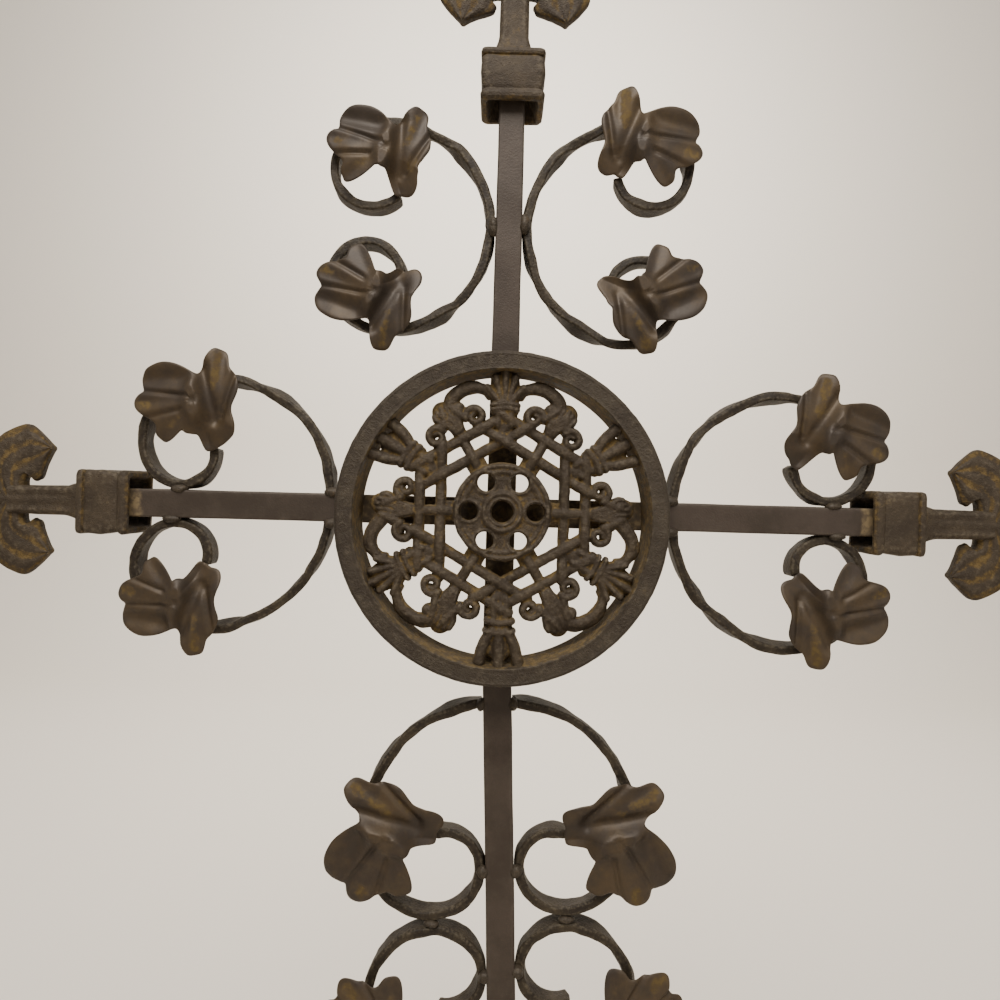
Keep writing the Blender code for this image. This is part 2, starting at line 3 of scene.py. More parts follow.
import bpy
import numpy as np
from mathutils import Matrix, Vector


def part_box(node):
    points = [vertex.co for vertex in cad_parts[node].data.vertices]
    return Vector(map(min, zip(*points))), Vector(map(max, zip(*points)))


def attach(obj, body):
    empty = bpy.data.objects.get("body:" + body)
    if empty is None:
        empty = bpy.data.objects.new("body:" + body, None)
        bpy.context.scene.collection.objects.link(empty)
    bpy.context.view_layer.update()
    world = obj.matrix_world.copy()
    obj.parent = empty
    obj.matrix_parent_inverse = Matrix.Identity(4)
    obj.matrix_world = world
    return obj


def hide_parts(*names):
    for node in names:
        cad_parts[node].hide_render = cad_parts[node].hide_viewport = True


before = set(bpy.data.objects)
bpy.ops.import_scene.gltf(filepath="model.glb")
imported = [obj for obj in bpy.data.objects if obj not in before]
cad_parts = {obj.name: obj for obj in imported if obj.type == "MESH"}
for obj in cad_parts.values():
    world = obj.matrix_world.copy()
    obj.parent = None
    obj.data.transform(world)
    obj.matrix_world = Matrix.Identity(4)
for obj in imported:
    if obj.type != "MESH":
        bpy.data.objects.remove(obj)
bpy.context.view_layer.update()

# Places taken from the frame
bar_low, bar_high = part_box("crossbar")
CROSSING = np.array([(bar_low.x + bar_high.x) / 2, 0.0, (bar_low.z + bar_high.z) / 2])
UPRIGHT_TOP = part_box("upright")[1].z

# Sizes of the cross in metres, from the middle of the crossing
BEND_DROP = 0.086
SHAFT_LEAN = math.radians(2.3)
TOP_MOUTH = 0.2295
ARM_MOUTH = 0.2070
SHAFT_WIDTH = 0.0164
TOP_WIDTH = 0.0146
BAR_DEPTH = 0.0164
ARM_WIDTH = 0.0160
GAP = 0.0003
BAR_TRIM = 0.0001
BEND = CROSSING - (0.0, 0.0, BEND_DROP)

# Scroll strips and leaves
STRIP_THICK = 0.0052
STRIP_DEPTH = 0.0120
STRIP_CORNER = 0.0013
LOWER_SPAN = 0.1400
TOP_CLEAR = 0.0085
ARM_CLEAR = 0.0035
ARM_ROOT_CLEAR = 0.0072
LOWER_ROOT_CLEAR = 0.0182
PAIR_GAP = 0.0035
RIPPLE_PITCH = 0.052
RIPPLE_TURN = math.radians(17.0)
LEAF_THICK = 0.0016
LEAF_RISE = 0.0095
LEAF_CLEAR = 0.0009
LEAF_SIZE = 0.0415
STALK_HALF = 0.0038
LEAF_AROUND = 216
LEAF_OUT = 28

# Medallion
RING_RADIUS = 0.0903
RING_BAND = 0.0112
RING_DEPTH = 0.0235
RING_DROP = 0.0035
MEDALLION_SHIFT = 0.0005
ROSETTE_RISE = 0.0009
BOSS_RADIUS = 0.0268
BOSS_HOLE = 0.0047
BOSS_HOLE_CIRCLE = 0.0181
EYE_HOLE = 0.0058
INNER_STRAP = 0.0335
OUTER_STRAP = 0.0450
STRAP_HALF = 0.0031
STRAP_THICK = 0.0080
BALL_CIRCLE = 0.0700
LEVEL_BALL_CIRCLE = 0.0650

# Finials
COLLAR_HALF = 0.0183
COLLAR_LENGTH = 0.0285
SOCKET_DEPTH = 0.0150
MOUTH_WALL = 0.0045
SOCKET_SLACK = 0.0009
NECK_HALF = 0.0086
NECK_LENGTH = 0.0440
PETAL_REACH = 0.0330
PETAL_HALF = 0.0160
SPEAR_HALF = 0.0150
SPEAR_LENGTH = 0.0460
FINIAL_DEPTH = 0.0150
CAP_THICK = 0.0040
ROOT_OVERLAP = 0.0030
TIP_HALF = 0.0012

# Free lengths that the scrolls fill, and where their roots are
TOP_SPAN = TOP_MOUTH - TOP_CLEAR - RING_RADIUS
ARM_SPAN = ARM_MOUTH - ARM_CLEAR - RING_RADIUS
BELLY_RISE = RING_RADIUS + TOP_SPAN * 0.549
ARM_START = RING_RADIUS + ARM_ROOT_CLEAR
LOWER_START = RING_RADIUS + LOWER_ROOT_CLEAR


def scroll_end(span, sweep_radius, sweep, easing, eye_radius, tip_radius, eye):
    """Radii and lengths of one hand-bent scroll end, given as shares of the span it fills."""
    return {
        "radii": tuple(span * r for r in (sweep_radius, sweep_radius, eye_radius, tip_radius)),
        "runs": tuple(span * r for r in (0.0, sweep, sweep + easing, sweep + easing + eye)),
    }


TOP_ENDS = {
    "left upper": scroll_end(TOP_SPAN, 0.442, 0.627, 0.482, 0.155, 0.191, 0.337),
    "left lower": scroll_end(TOP_SPAN, 0.465, 0.566, 0.658, 0.155, 0.155, 0.337),
    "right upper": scroll_end(TOP_SPAN, 0.462, 0.689, 0.291, 0.175, 0.146, 0.559),
    "right lower": scroll_end(TOP_SPAN, 0.505, 0.528, 0.612, 0.160, 0.156, 0.383),
}
ARM_ENDS = {
    "left upper": scroll_end(ARM_SPAN, 0.551, 0.928, 0.654, 0.213, 0.138, 0.459),
    "left lower": scroll_end(ARM_SPAN, 0.655, 0.707, 0.654, 0.271, 0.142, 0.689),
    "right upper": scroll_end(ARM_SPAN, 0.553, 1.095, 0.406, 0.201, 0.193, 0.557),
    "right lower": scroll_end(ARM_SPAN, 0.715, 0.495, 0.875, 0.308, 0.130, 0.680),
}
LOWER_ENDS = {
    "left": scroll_end(LOWER_SPAN, 0.539, 0.714, 0.564, 0.221, 0.131, 0.557),
    "right": scroll_end(LOWER_SPAN, 0.501, 0.807, 0.607, 0.178, 0.125, 0.414),
}


def leaf_seat(bearing, distance, twist, size):
    """Where a leaf's hub sits from its strip end, in degrees and leaf sizes, and its own turn."""
    return {
        "bearing": math.radians(bearing), "distance": LEAF_SIZE * distance,
        "twist": math.radians(twist), "size": LEAF_SIZE * size,
    }


LEAF_SEATS = {
    "top left upper": leaf_seat(63.9, 0.530, -8.5, 0.94),
    "top left lower": leaf_seat(50.2, 0.434, -3.9, 0.96),
    "top right upper": leaf_seat(40.3, 0.470, 0.0, 0.96),
    "top right lower": leaf_seat(84.5, 0.506, -15.7, 0.97),
    "arm left upper": leaf_seat(-0.7, 0.629, 11.5, 0.96),
    "arm left lower": leaf_seat(8.1, 0.542, 2.3, 0.95),
    "arm right upper": leaf_seat(46.1, 0.639, 3.1, 0.96),
    "arm right lower": leaf_seat(21.7, 0.566, -0.3, 1.00),
    "lower left": leaf_seat(-26.2, 0.607, 1.3, 1.12),
    "lower right": leaf_seat(-35.0, 0.631, 8.0, 1.11),
    "foot left": leaf_seat(-38.0, 0.627, 0.0, 1.11),
    "foot right": leaf_seat(-52.0, 0.627, 0.0, 1.11),
}
# The stamped leaf's tips and notches in turn: direction about its hub in degrees, reach in leaf sizes
LEAF_EDGE = (
    (-180.0, 0.30), (-170.0, 0.65), (-160.0, 0.70), (-125.0, 0.50), (-85.0, 0.64), (-70.0, 0.65),
    (-52.0, 0.80), (-42.0, 0.79), (-28.0, 0.38), (44.0, 0.89), (54.0, 0.79), (66.0, 0.91), (96.0, 0.65),
    (106.0, 0.74), (117.0, 0.74), (138.0, 0.29), (160.0, 0.24),
)
# Folds of the leaf: height and half width in leaf sizes, and the two marks that a fold runs between,
# each a direction and a reach as above. The troughs lie along the lobes, the creases between them.
LEAF_FOLDS = (
    (0.070, 0.110, (-15.0, 0.25), (160.0, 0.25)),
    (-0.120, 0.100, (-35.0, 0.45), (-165.0, 0.35)),
    (-0.070, 0.130, (-50.0, 0.90), (-155.0, 0.40)),
    (-0.055, 0.045, (-73.0, 0.75), (-148.0, 0.40)),
    (-0.025, 0.100, (-90.0, 0.65), (-135.0, 0.48)),
    (-0.046, 0.036, (25.0, 0.10), (55.0, 0.80)),
    (-0.042, 0.040, (97.0, 0.25), (84.0, 0.75)),
    (-0.100, 0.140, (5.0, 0.35), (44.0, 0.85)),
    (-0.035, 0.100, (60.0, 0.25), (67.0, 0.90)),
    (-0.030, 0.100, (115.0, 0.30), (114.0, 0.70)),
)
# Where ochre lies on a leaf: strength, half width and two marks
LEAF_STAINS = (
    (0.85, 0.075, (-50.0, 0.70), (-80.0, 0.30)),
    (0.95, 0.085, (70.0, 0.70), (70.0, 0.80)),
    (0.42, 0.090, (112.0, 0.35), (112.0, 0.50)),
    (0.45, 0.070, (-100.0, 0.45), (-135.0, 0.40)),
)


# Meshes from whole arrays

def noise(points, pitch, seed):
    """Smooth noise from -1 to 1: hashed values on a lattice, blended by smoothstep weights."""
    place = np.asarray(points, float) / pitch
    cell = np.floor(place).astype(np.int64)
    share = place - cell
    share = share * share * (3.0 - 2.0 * share)
    total = np.zeros(place.shape[:-1])
    for corner in np.ndindex(2, 2, 2):
        at = cell + corner
        mixed = (at[..., 0] * 73856093) ^ (at[..., 1] * 19349663) ^ (at[..., 2] * 83492791)
        mixed = ((mixed ^ (seed * 40503)) & 0xFFFFFFFF) * 1274126177
        value = ((mixed >> 16) & 0xFFFF) / 32767.5 - 1.0
        weight = np.prod(np.where(corner, share, 1.0 - share), axis=-1)
        total += weight * value
    return total


def smooth_step(value, low, high):
    """0 below low, 1 above high, and an S between them."""
    share = np.clip((value - low) / (high - low), 0.0, 1.0)
    return share * share * (3.0 - 2.0 * share)


def grid_quads(rows, columns, wrap_rows=False, wrap_columns=False):
    """Faces of a grid of points numbered row by row, closed along either way on request."""
    r = np.arange(rows if wrap_rows else rows - 1)
    c = np.arange(columns if wrap_columns else columns - 1)
    r, c = np.meshgrid(r, c, indexing="ij")
    r, c = r.ravel(), c.ravel()
    up, over = (r + 1) % rows, (c + 1) % columns
    return np.stack([r * columns + c, r * columns + over, up * columns + over, up * columns + c], 1)


def volume(points, faces):
    """Six times the volume that the faces enclose, positive when they point outwards."""
    total = 0.0
    for i in range(1, faces.shape[1] - 1):
        a, b, c = points[faces[:, 0]], points[faces[:, i]], points[faces[:, i + 1]]
        total += np.einsum("ij,ij->", a, np.cross(b, c))
    return total


def tube(rings, wrap=False):
    """Points and faces of a closed skin over a stack of rings, its ends closed by a middle point."""
    rows, columns = rings.shape[:2]
    points = rings.reshape(-1, 3)
    faces = [grid_quads(rows, columns, wrap, True)]
    if not wrap:
        points = np.concatenate([points, rings[:1].mean(1), rings[-1:].mean(1)])
        here, there = np.arange(columns), (np.arange(columns) + 1) % columns
        first, last = rows * columns, rows * columns + 1
        base = (rows - 1) * columns
        faces.append(np.stack([there, here, np.full(columns, first)], 1))
        faces.append(np.stack([base + here, base + there, np.full(columns, last)], 1))
    return points, faces


def joined(skins):
    """Several skins, each points with faces and marks, as one."""
    points, faces, marks, base = [], [], {}, 0
    for some, some_faces, some_marks in skins:
        points.append(some)
        faces.extend(f + base for f in some_faces)
        for key, values in some_marks.items():
            marks.setdefault(key, []).append(values)
        base += len(some)
    return np.concatenate(points), faces, {k: np.concatenate(v) for k, v in marks.items()}


def piece(name, skin_points, faces, marks, finish, nodes, sharp=50.0):
    """A mesh object from arrays, with its marks as attributes, that rides with the cross."""
    points = np.asarray(skin_points, float)
    middle = points.mean(0)
    if sum(volume(points - middle, f) for f in faces) < 0.0:
        faces = [f[:, ::-1] for f in faces]
    mesh = bpy.data.meshes.new(name)
    sizes = np.concatenate([np.full(len(f), f.shape[1]) for f in faces])
    corners = np.concatenate([f.ravel() for f in faces])
    mesh.vertices.add(len(points))
    mesh.vertices.foreach_set("co", points.astype(np.float32).ravel())
    mesh.loops.add(len(corners))
    mesh.loops.foreach_set("vertex_index", corners.astype(np.int32))
    mesh.polygons.add(len(sizes))
    mesh.polygons.foreach_set("loop_start", np.concatenate([[0], np.cumsum(sizes)[:-1]]).astype(np.int32))
    mesh.update(calc_edges=True)
    mesh.validate()
    for key, values in marks.items():
        attribute = mesh.attributes.new(key, "FLOAT", "POINT")
        attribute.data.foreach_set("value", np.asarray(values, np.float32).ravel())
    mesh.shade_smooth()
    mesh.set_sharp_from_angle(angle=math.radians(sharp))
    mesh.materials.append(finish)
    thing = bpy.data.objects.new(name, mesh)
    bpy.context.scene.collection.objects.link(thing)
    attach(thing, "root")
    if nodes:
        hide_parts(*nodes)


def softened(values):
    """A row of values smoothed over two neighbours on each side."""
    kernel = np.array((1.0, 2.0, 3.0, 2.0, 1.0)) / 9.0
    return np.convolve(np.pad(values, 2, mode="edge"), kernel, "valid")


def leaning(points, place, lean):
    """Points turned about the depth axis and set in place."""
    c, s = math.cos(lean), math.sin(lean)
    x, y, z = points[..., 0], points[..., 1], points[..., 2]
    return np.stack([x * c + z * s, y, z * c - x * s], -1) + place


def round_rectangle(half_across, half_deep, corner, flat=5, turn=4):
    """Outline of a rectangle with round corners, as across and depth, and how near a corner it is."""
    side = np.linspace(-1.0, 1.0, flat)
    arc = np.linspace(0.0, math.pi / 2, turn + 2)[1:-1]
    outline, near = [], []
    for quarter in range(4):
        a, b = (half_across, half_deep) if quarter % 2 == 0 else (half_deep, half_across)
        straight = np.stack([np.full(flat, a), side * (b - corner)], 1)
        bend = np.stack([a - corner + corner * np.cos(arc), b - corner + corner * np.sin(arc)], 1)
        c, s = round(math.cos(quarter * math.pi / 2)), round(math.sin(quarter * math.pi / 2))
        for part, mark in ((straight, np.abs(side) ** 8), (bend, np.ones(turn))):
            outline.append(np.stack([part[:, 0] * c - part[:, 1] * s,
                                     part[:, 0] * s + part[:, 1] * c], 1))
            near.append(mark)
    return np.concatenate(outline), np.concatenate(near)


# Finishes

def group(name, inputs, outputs):
    """An empty shader group with named sockets, and its own input and output nodes."""
    tree = bpy.data.node_groups.new(name, "ShaderNodeTree")
    for label, kind, value in inputs:
        socket = tree.interface.new_socket(label, in_out="INPUT", socket_type=kind)
        socket.default_value = value
    for label, kind in outputs:
        tree.interface.new_socket(label, in_out="OUTPUT", socket_type=kind)
    return tree, tree.nodes.new("NodeGroupInput"), tree.nodes.new("NodeGroupOutput")


def node(tree, kind, settings=None, links=None):
    """A node with its settings made and its inputs set to a value or linked from a socket."""
    made = tree.nodes.new(kind)
    for key, value in (settings or {}).items():
        setattr(made, key, value)
    for key, value in (links or {}).items():
        if isinstance(value, bpy.types.NodeSocket):
            tree.links.new(value, made.inputs[key])
        else:
            made.inputs[key].default_value = value
    return made


def maths(tree, operation, a, b=0.0, c=0.0):
    """The result of one sum on values or sockets."""
    made = node(tree, "ShaderNodeMath", {"operation": operation}, {0: a, 1: b, 2: c})
    return made.outputs[0]


def ranged(tree, value, low, high, to_low=0.0, to_high=1.0):
    """A value carried smoothly from one range to another."""
    made = node(tree, "ShaderNodeMapRange", {"interpolation_type": "SMOOTHSTEP"}, {
        "Value": value, "From Min": low, "From Max": high, "To Min": to_low, "To Max": to_high})
    return made.outputs["Result"]


def mixed(tree, share, a, b):
    """Two colours mixed by a share."""
    made = node(tree, "ShaderNodeMix", {"data_type": "RGBA"}, {0: share, 6: a, 7: b})
    return made.outputs[2]


def cast_grain_group():
    """Sand-cast skin: fine round grains, small pits and a slow unevenness, as one height."""
    tree, source, result = group("cast_grain", [
        ("Place", "NodeSocketVector", (0.0, 0.0, 0.0)), ("Grain", "NodeSocketFloat", 0.0009),
        ("Pits", "NodeSocketFloat", 0.5)], [("Height", "NodeSocketFloat"), ("Speck", "NodeSocketFloat")])
    scale = maths(tree, "DIVIDE", 1.0, source.outputs["Grain"])
    place = source.outputs["Place"]
    grains = node(tree, "ShaderNodeTexVoronoi", {"feature": "SMOOTH_F1"},
                  {"Vector": place, "Scale": scale, "Smoothness": 0.6}).outputs["Distance"]
    fine = node(tree, "ShaderNodeTexNoise", {}, {
        "Vector": place, "Scale": maths(tree, "MULTIPLY", scale, 1.7), "Detail": 4.0,
        "Roughness": 0.6}).outputs["Fac"]
    slow = node(tree, "ShaderNodeTexNoise", {}, {
        "Vector": place, "Scale": maths(tree, "MULTIPLY", scale, 0.12), "Detail": 3.0}).outputs["Fac"]
    pits = ranged(tree, node(tree, "ShaderNodeTexNoise", {}, {
        "Vector": place, "Scale": maths(tree, "MULTIPLY", scale, 0.45), "Detail": 2.0}).outputs["Fac"],
        0.36, 0.30)
    height = maths(tree, "MULTIPLY_ADD", grains, -0.7, maths(tree, "MULTIPLY_ADD", fine, 0.6, slow))
    height = maths(tree, "SUBTRACT", height, maths(tree, "MULTIPLY", pits, source.outputs["Pits"]))
    tree.links.new(height, result.inputs["Height"])
    tree.links.new(ranged(tree, fine, 0.52, 0.72), result.inputs["Speck"])
    return tree


def weathering_group():
    """Colour of old iron: ochre rust in the hollows and in patches, pale dust, worn crests."""
    colour, plain = "NodeSocketColor", "NodeSocketFloat"
    tree, source, result = group("weathering", [
        ("Place", "NodeSocketVector", (0.0, 0.0, 0.0)), ("Iron", colour, (0.1, 0.08, 0.06, 1.0)),
        ("Tint", colour, (0.12, 0.10, 0.09, 1.0)), ("Rust", colour, (0.28, 0.15, 0.04, 1.0)),
        ("Dust", colour, (0.35, 0.31, 0.25, 1.0)), ("Hollow", plain, 0.0), ("Crest", plain, 0.0),
        ("Patch Size", plain, 0.02), ("Rust Amount", plain, 0.5), ("Dust Amount", plain, 0.3)],
        [("Colour", colour), ("Rustiness", plain)])
    place, inputs = source.outputs["Place"], source.outputs
    scale = maths(tree, "DIVIDE", 1.0, inputs["Patch Size"])
    broad = node(tree, "ShaderNodeTexNoise", {}, {
        "Vector": place, "Scale": scale, "Detail": 5.0, "Roughness": 0.62}).outputs["Fac"]
    small = node(tree, "ShaderNodeTexNoise", {}, {
        "Vector": place, "Scale": maths(tree, "MULTIPLY", scale, 6.0), "Detail": 4.0,
        "Roughness": 0.6}).outputs["Fac"]
    base = mixed(tree, ranged(tree, broad, 0.35, 0.65), inputs["Iron"], inputs["Tint"])
    # Hollow raises the ochre: rust in hollows, and on the bars inside the ring painted bounce light mixed
    # with rust
    bloom = maths(tree, "MULTIPLY_ADD", inputs["Hollow"], 0.34,
                  maths(tree, "MULTIPLY_ADD", small, 0.30, maths(tree, "MULTIPLY", broad, 0.70)))
    bloom = maths(tree, "MULTIPLY_ADD", inputs["Rust Amount"], 0.30, bloom)
    rusty = ranged(tree, bloom, 0.66, 0.86)
    fresh = maths(tree, "MULTIPLY", rusty, ranged(tree, small, 0.42, 0.62, 0.35, 1.0))
    shade = mixed(tree, fresh, base, inputs["Rust"])
    worn = maths(tree, "MULTIPLY", inputs["Crest"], ranged(tree, small, 0.40, 0.62))
    powder = maths(tree, "MULTIPLY", inputs["Dust Amount"], maths(tree, "MULTIPLY_ADD", worn, 0.9,
                   ranged(tree, small, 0.50, 0.75, 0.0, 0.6)))
    shade = mixed(tree, powder, shade, inputs["Dust"])
    tree.links.new(shade, result.inputs["Colour"])
    tree.links.new(rusty, result.inputs["Rustiness"])
    return tree


DULL_SPECULAR = 0.28
RUST_ROUGH = 0.92
RUST_METALLIC = 0.05
CAST_GRAIN = cast_grain_group()
WEATHERING = weathering_group()


def iron(name, iron_colour, tint, rust, dust, patch, rust_amount, dust_amount, grain, pits, bump,
         rough, metallic):
    """A finish of old iron: weathered colour, rustier parts duller, cast or rolled grain as bump."""
    material = bpy.data.materials.new(name)
    material.use_nodes = True
    tree = material.node_tree
    shader = tree.nodes["Principled BSDF"]
    shader.inputs["Specular IOR Level"].default_value = DULL_SPECULAR
    place = tree.nodes.new("ShaderNodeTexCoord").outputs["Object"]
    hollow = node(tree, "ShaderNodeAttribute", {"attribute_name": "hollow"}).outputs["Fac"]
    crest = node(tree, "ShaderNodeAttribute", {"attribute_name": "crest"}).outputs["Fac"]
    skin = node(tree, "ShaderNodeGroup", {"node_tree": CAST_GRAIN}, {
        "Place": place, "Grain": grain, "Pits": pits})
    weather = node(tree, "ShaderNodeGroup", {"node_tree": WEATHERING}, {
        "Place": place, "Iron": (*iron_colour, 1.0), "Tint": (*tint, 1.0), "Rust": (*rust, 1.0),
        "Dust": (*dust, 1.0), "Hollow": hollow, "Crest": crest, "Patch Size": patch,
        "Rust Amount": rust_amount, "Dust Amount": dust_amount})
    rustiness = weather.outputs["Rustiness"]
    tree.links.new(weather.outputs["Colour"], shader.inputs["Base Color"])
    tree.links.new(ranged(tree, rustiness, 0.0, 1.0, rough, RUST_ROUGH), shader.inputs["Roughness"])
    tree.links.new(ranged(tree, rustiness, 0.0, 1.0, metallic, RUST_METALLIC), shader.inputs["Metallic"])
    relief = node(tree, "ShaderNodeBump", {}, {
        "Strength": 1.0, "Distance": bump, "Height": skin.outputs["Height"]})
    tree.links.new(relief.outputs["Normal"], shader.inputs["Normal"])
    return material


# Colours are iron, tint, rust and dust. Lengths are in metres, amounts and finish from 0 to 1
# The bar's rust colour is the pale ochre laid on its front inside the ring: painted bounce light mixed with
# rust
BAR_FINISH = iron(
    "rolled_bar_iron", (0.036, 0.026, 0.019), (0.050, 0.037, 0.028), (0.160, 0.115, 0.060),
    (0.14, 0.12, 0.09), patch=0.030, rust_amount=0.00, dust_amount=0.08, grain=0.0011, pits=0.25,
    bump=0.00009, rough=0.52, metallic=0.24)
CAST_FINISH = iron(
    "sand_cast_iron", (0.028, 0.019, 0.011), (0.044, 0.031, 0.018), (0.098, 0.062, 0.019),
    (0.15, 0.12, 0.08), patch=0.016, rust_amount=0.30, dust_amount=0.32, grain=0.0008, pits=0.6,
    bump=0.00036, rough=0.66, metallic=0.10)
RING_FINISH = iron(
    "sand_cast_ring_iron", (0.028, 0.020, 0.013), (0.042, 0.032, 0.021), (0.098, 0.062, 0.018),
    (0.14, 0.115, 0.08), patch=0.020, rust_amount=0.05, dust_amount=0.30, grain=0.0008, pits=0.6,
    bump=0.00045, rough=0.66, metallic=0.12)
STRIP_FINISH = iron(
    "hammered_strip_iron", (0.015, 0.010, 0.006), (0.032, 0.023, 0.013), (0.070, 0.045, 0.016),
    (0.14, 0.115, 0.075), patch=0.010, rust_amount=0.10, dust_amount=0.26, grain=0.0012, pits=0.4,
    bump=0.00026, rough=0.60, metallic=0.12)
LEAF_FINISH = iron(
    "stamped_leaf_iron", (0.034, 0.025, 0.018), (0.058, 0.039, 0.021), (0.088, 0.058, 0.020),
    (0.15, 0.125, 0.10), patch=0.020, rust_amount=0.14, dust_amount=0.06, grain=0.0014, pits=0.25,
    bump=0.00006, rough=0.50, metallic=0.26)
WELD_FINISH = iron(
    "weld_bead_iron", (0.026, 0.019, 0.012), (0.042, 0.031, 0.020), (0.085, 0.050, 0.018),
    (0.15, 0.12, 0.085), patch=0.006, rust_amount=0.10, dust_amount=0.20, grain=0.0010, pits=0.5,
    bump=0.00025, rough=0.55, metallic=0.15)


# Bars

def bar(name, line, across_axis, halves, node_name, recess, seed):
    """A square bar with round corners carried along a line of points.

    Each section is a round-cornered rectangle, its half sizes given along the line, moved by
    slow noise of a tenth of a millimetre. Where the other bar crosses, one face lies back.
    On its front inside the ring the ochre is painted bounce light mixed with rust; ochre dust also lies at
    the mouths of the arms' end pieces.
    """
    outline, near = round_rectangle(1.0, 1.0, 0.14, 9, 4)
    half_wide, half_deep = halves
    rings = np.zeros((len(line), len(outline), 3))
    rings += line[:, None, :]
    rings += across_axis * (outline[:, 0] * half_wide[:, None])[..., None]
    rings[..., 1] += outline[:, 1] * half_deep
    rings += 0.00018 * np.stack([noise(rings, 0.018, seed + i) for i in range(3)], -1)
    middle, reach, side = recess
    along = np.abs(line @ np.abs(np.cross(across_axis, (0.0, 1.0, 0.0))) - middle)
    dip = (1.0 - smooth_step(along, reach, reach + 0.002))[:, None]
    rings[..., 1] -= side * dip * 0.0006 * (np.sign(rings[..., 1]) == side)
    rings[..., 2] = np.maximum(rings[..., 2], 0.0)
    points, faces = tube(rings)
    crest = np.concatenate([np.tile(near, len(line)), [0.5, 0.5]])
    # hollow mark: inside the ring it is painted bounce light mixed with rust, at the arms' mouths ochre dust
    away = np.hypot(points[:, 0] - CROSSING[0], points[:, 2] - CROSSING[2] + RING_DROP)
    mouth = smooth_step(np.abs(points[:, 0] - CROSSING[0]), ARM_MOUTH - 0.008, ARM_MOUTH - 0.001)
    hollow = np.maximum(smooth_step(away, RING_RADIUS - 0.003, RING_RADIUS - 0.012), mouth)
    hollow = hollow * (points[:, 1] < 0.0)
    piece(name, points, faces, {"crest": crest, "hollow": hollow}, BAR_FINISH, [node_name])


def bars():
    """The upright, bent behind the medallion's lower edge, and the level crossbar."""
    foot = CROSSING[2]
    height = np.concatenate([np.arange(0.0, foot - BEND_DROP, 0.005),
                             np.arange(foot - BEND_DROP, UPRIGHT_TOP, 0.003), [UPRIGHT_TOP]])
    below = np.maximum(foot - BEND_DROP - height, 0.0)
    line = np.stack([CROSSING[0] + below * math.tan(SHAFT_LEAN), height * 0.0, height], 1)
    share = np.clip((height - foot) / TOP_MOUTH, 0.0, 1.0)
    half = (SHAFT_WIDTH + (TOP_WIDTH - SHAFT_WIDTH) * share) / 2 - BAR_TRIM
    bar("upright_bar", line, np.array([1.0, 0.0, 0.0]), (half, BAR_DEPTH / 2 - BAR_TRIM), "upright",
        (CROSSING[2], ARM_WIDTH / 2, -1.0), 3)
    across = np.linspace(bar_low.x, bar_high.x, 160)
    line = np.stack([across, across * 0.0, across * 0.0 + CROSSING[2]], 1)
    half = np.full(len(across), ARM_WIDTH / 2 - BAR_TRIM)
    bar("cross_bar", line, np.array([0.0, 0.0, 1.0]), (half, BAR_DEPTH / 2 - BAR_TRIM), "crossbar",
        (CROSSING[0], SHAFT_WIDTH / 2, 1.0), 11)


# Scrolls and leaves

def end_line(shape, heading=0.0, start=(0.0, 0.0), fine=600):
    """Centre line of a scroll end: length, position ahead and aside, and heading.

    The curvature keeps one value over the sweep, grows evenly over the easing
    and runs evenly on to the tip. Its integral is the heading, and the integral
    of the heading's cosine and sine is the position.
    """
    total = shape["runs"][-1]
    run = np.linspace(0.0, total, fine)
    curve = np.interp(run, shape["runs"], [1.0 / r for r in shape["radii"]])
    step = run[1] - run[0]
    turned = heading + np.concatenate([[0.0], np.cumsum((curve[1:] + curve[:-1]) / 2) * step])
    middle = (turned[1:] + turned[:-1]) / 2
    ahead = start[0] + np.concatenate([[0.0], np.cumsum(np.cos(middle)) * step])
    aside = start[1] + np.concatenate([[0.0], np.cumsum(np.sin(middle)) * step])
    return run, ahead, aside, turned


def leaning_heading(shape, bar_half):
    """Heading at the root that lets the eye of the scroll rest on the bar."""
    rest = bar_half + GAP + STRIP_THICK / 2
    low, high = math.radians(-35.0), math.radians(45.0)
    for _ in range(40):
        heading = (low + high) / 2
        root = bar_half + GAP + abs(math.sin(heading)) * STRIP_THICK / 2
        ahead = end_line(shape, heading, (root, 0.0))[1]
        if ahead[len(ahead) // 2:].min() > rest:
            low = heading
        else:
            high = heading
    return heading


def rooted_line(shape, bar_half, along):
    """Centre line of a scroll that starts at a bar and comes back to rest on it."""
    heading = leaning_heading(shape, bar_half)
    root = bar_half + GAP + abs(math.sin(heading)) * STRIP_THICK / 2
    return end_line(shape, heading, (root, along))


def ripple(run, shape):
    """Twist of the strip about its own line: a wave over the sweep that dies out at both ends."""
    fade_end = shape["runs"][2] * 0.92
    share = np.clip(run / fade_end, 0.0, 1.0)
    return RIPPLE_TURN * np.sin(share * math.pi) ** 0.7 * np.sin(run / RIPPLE_PITCH * math.tau)


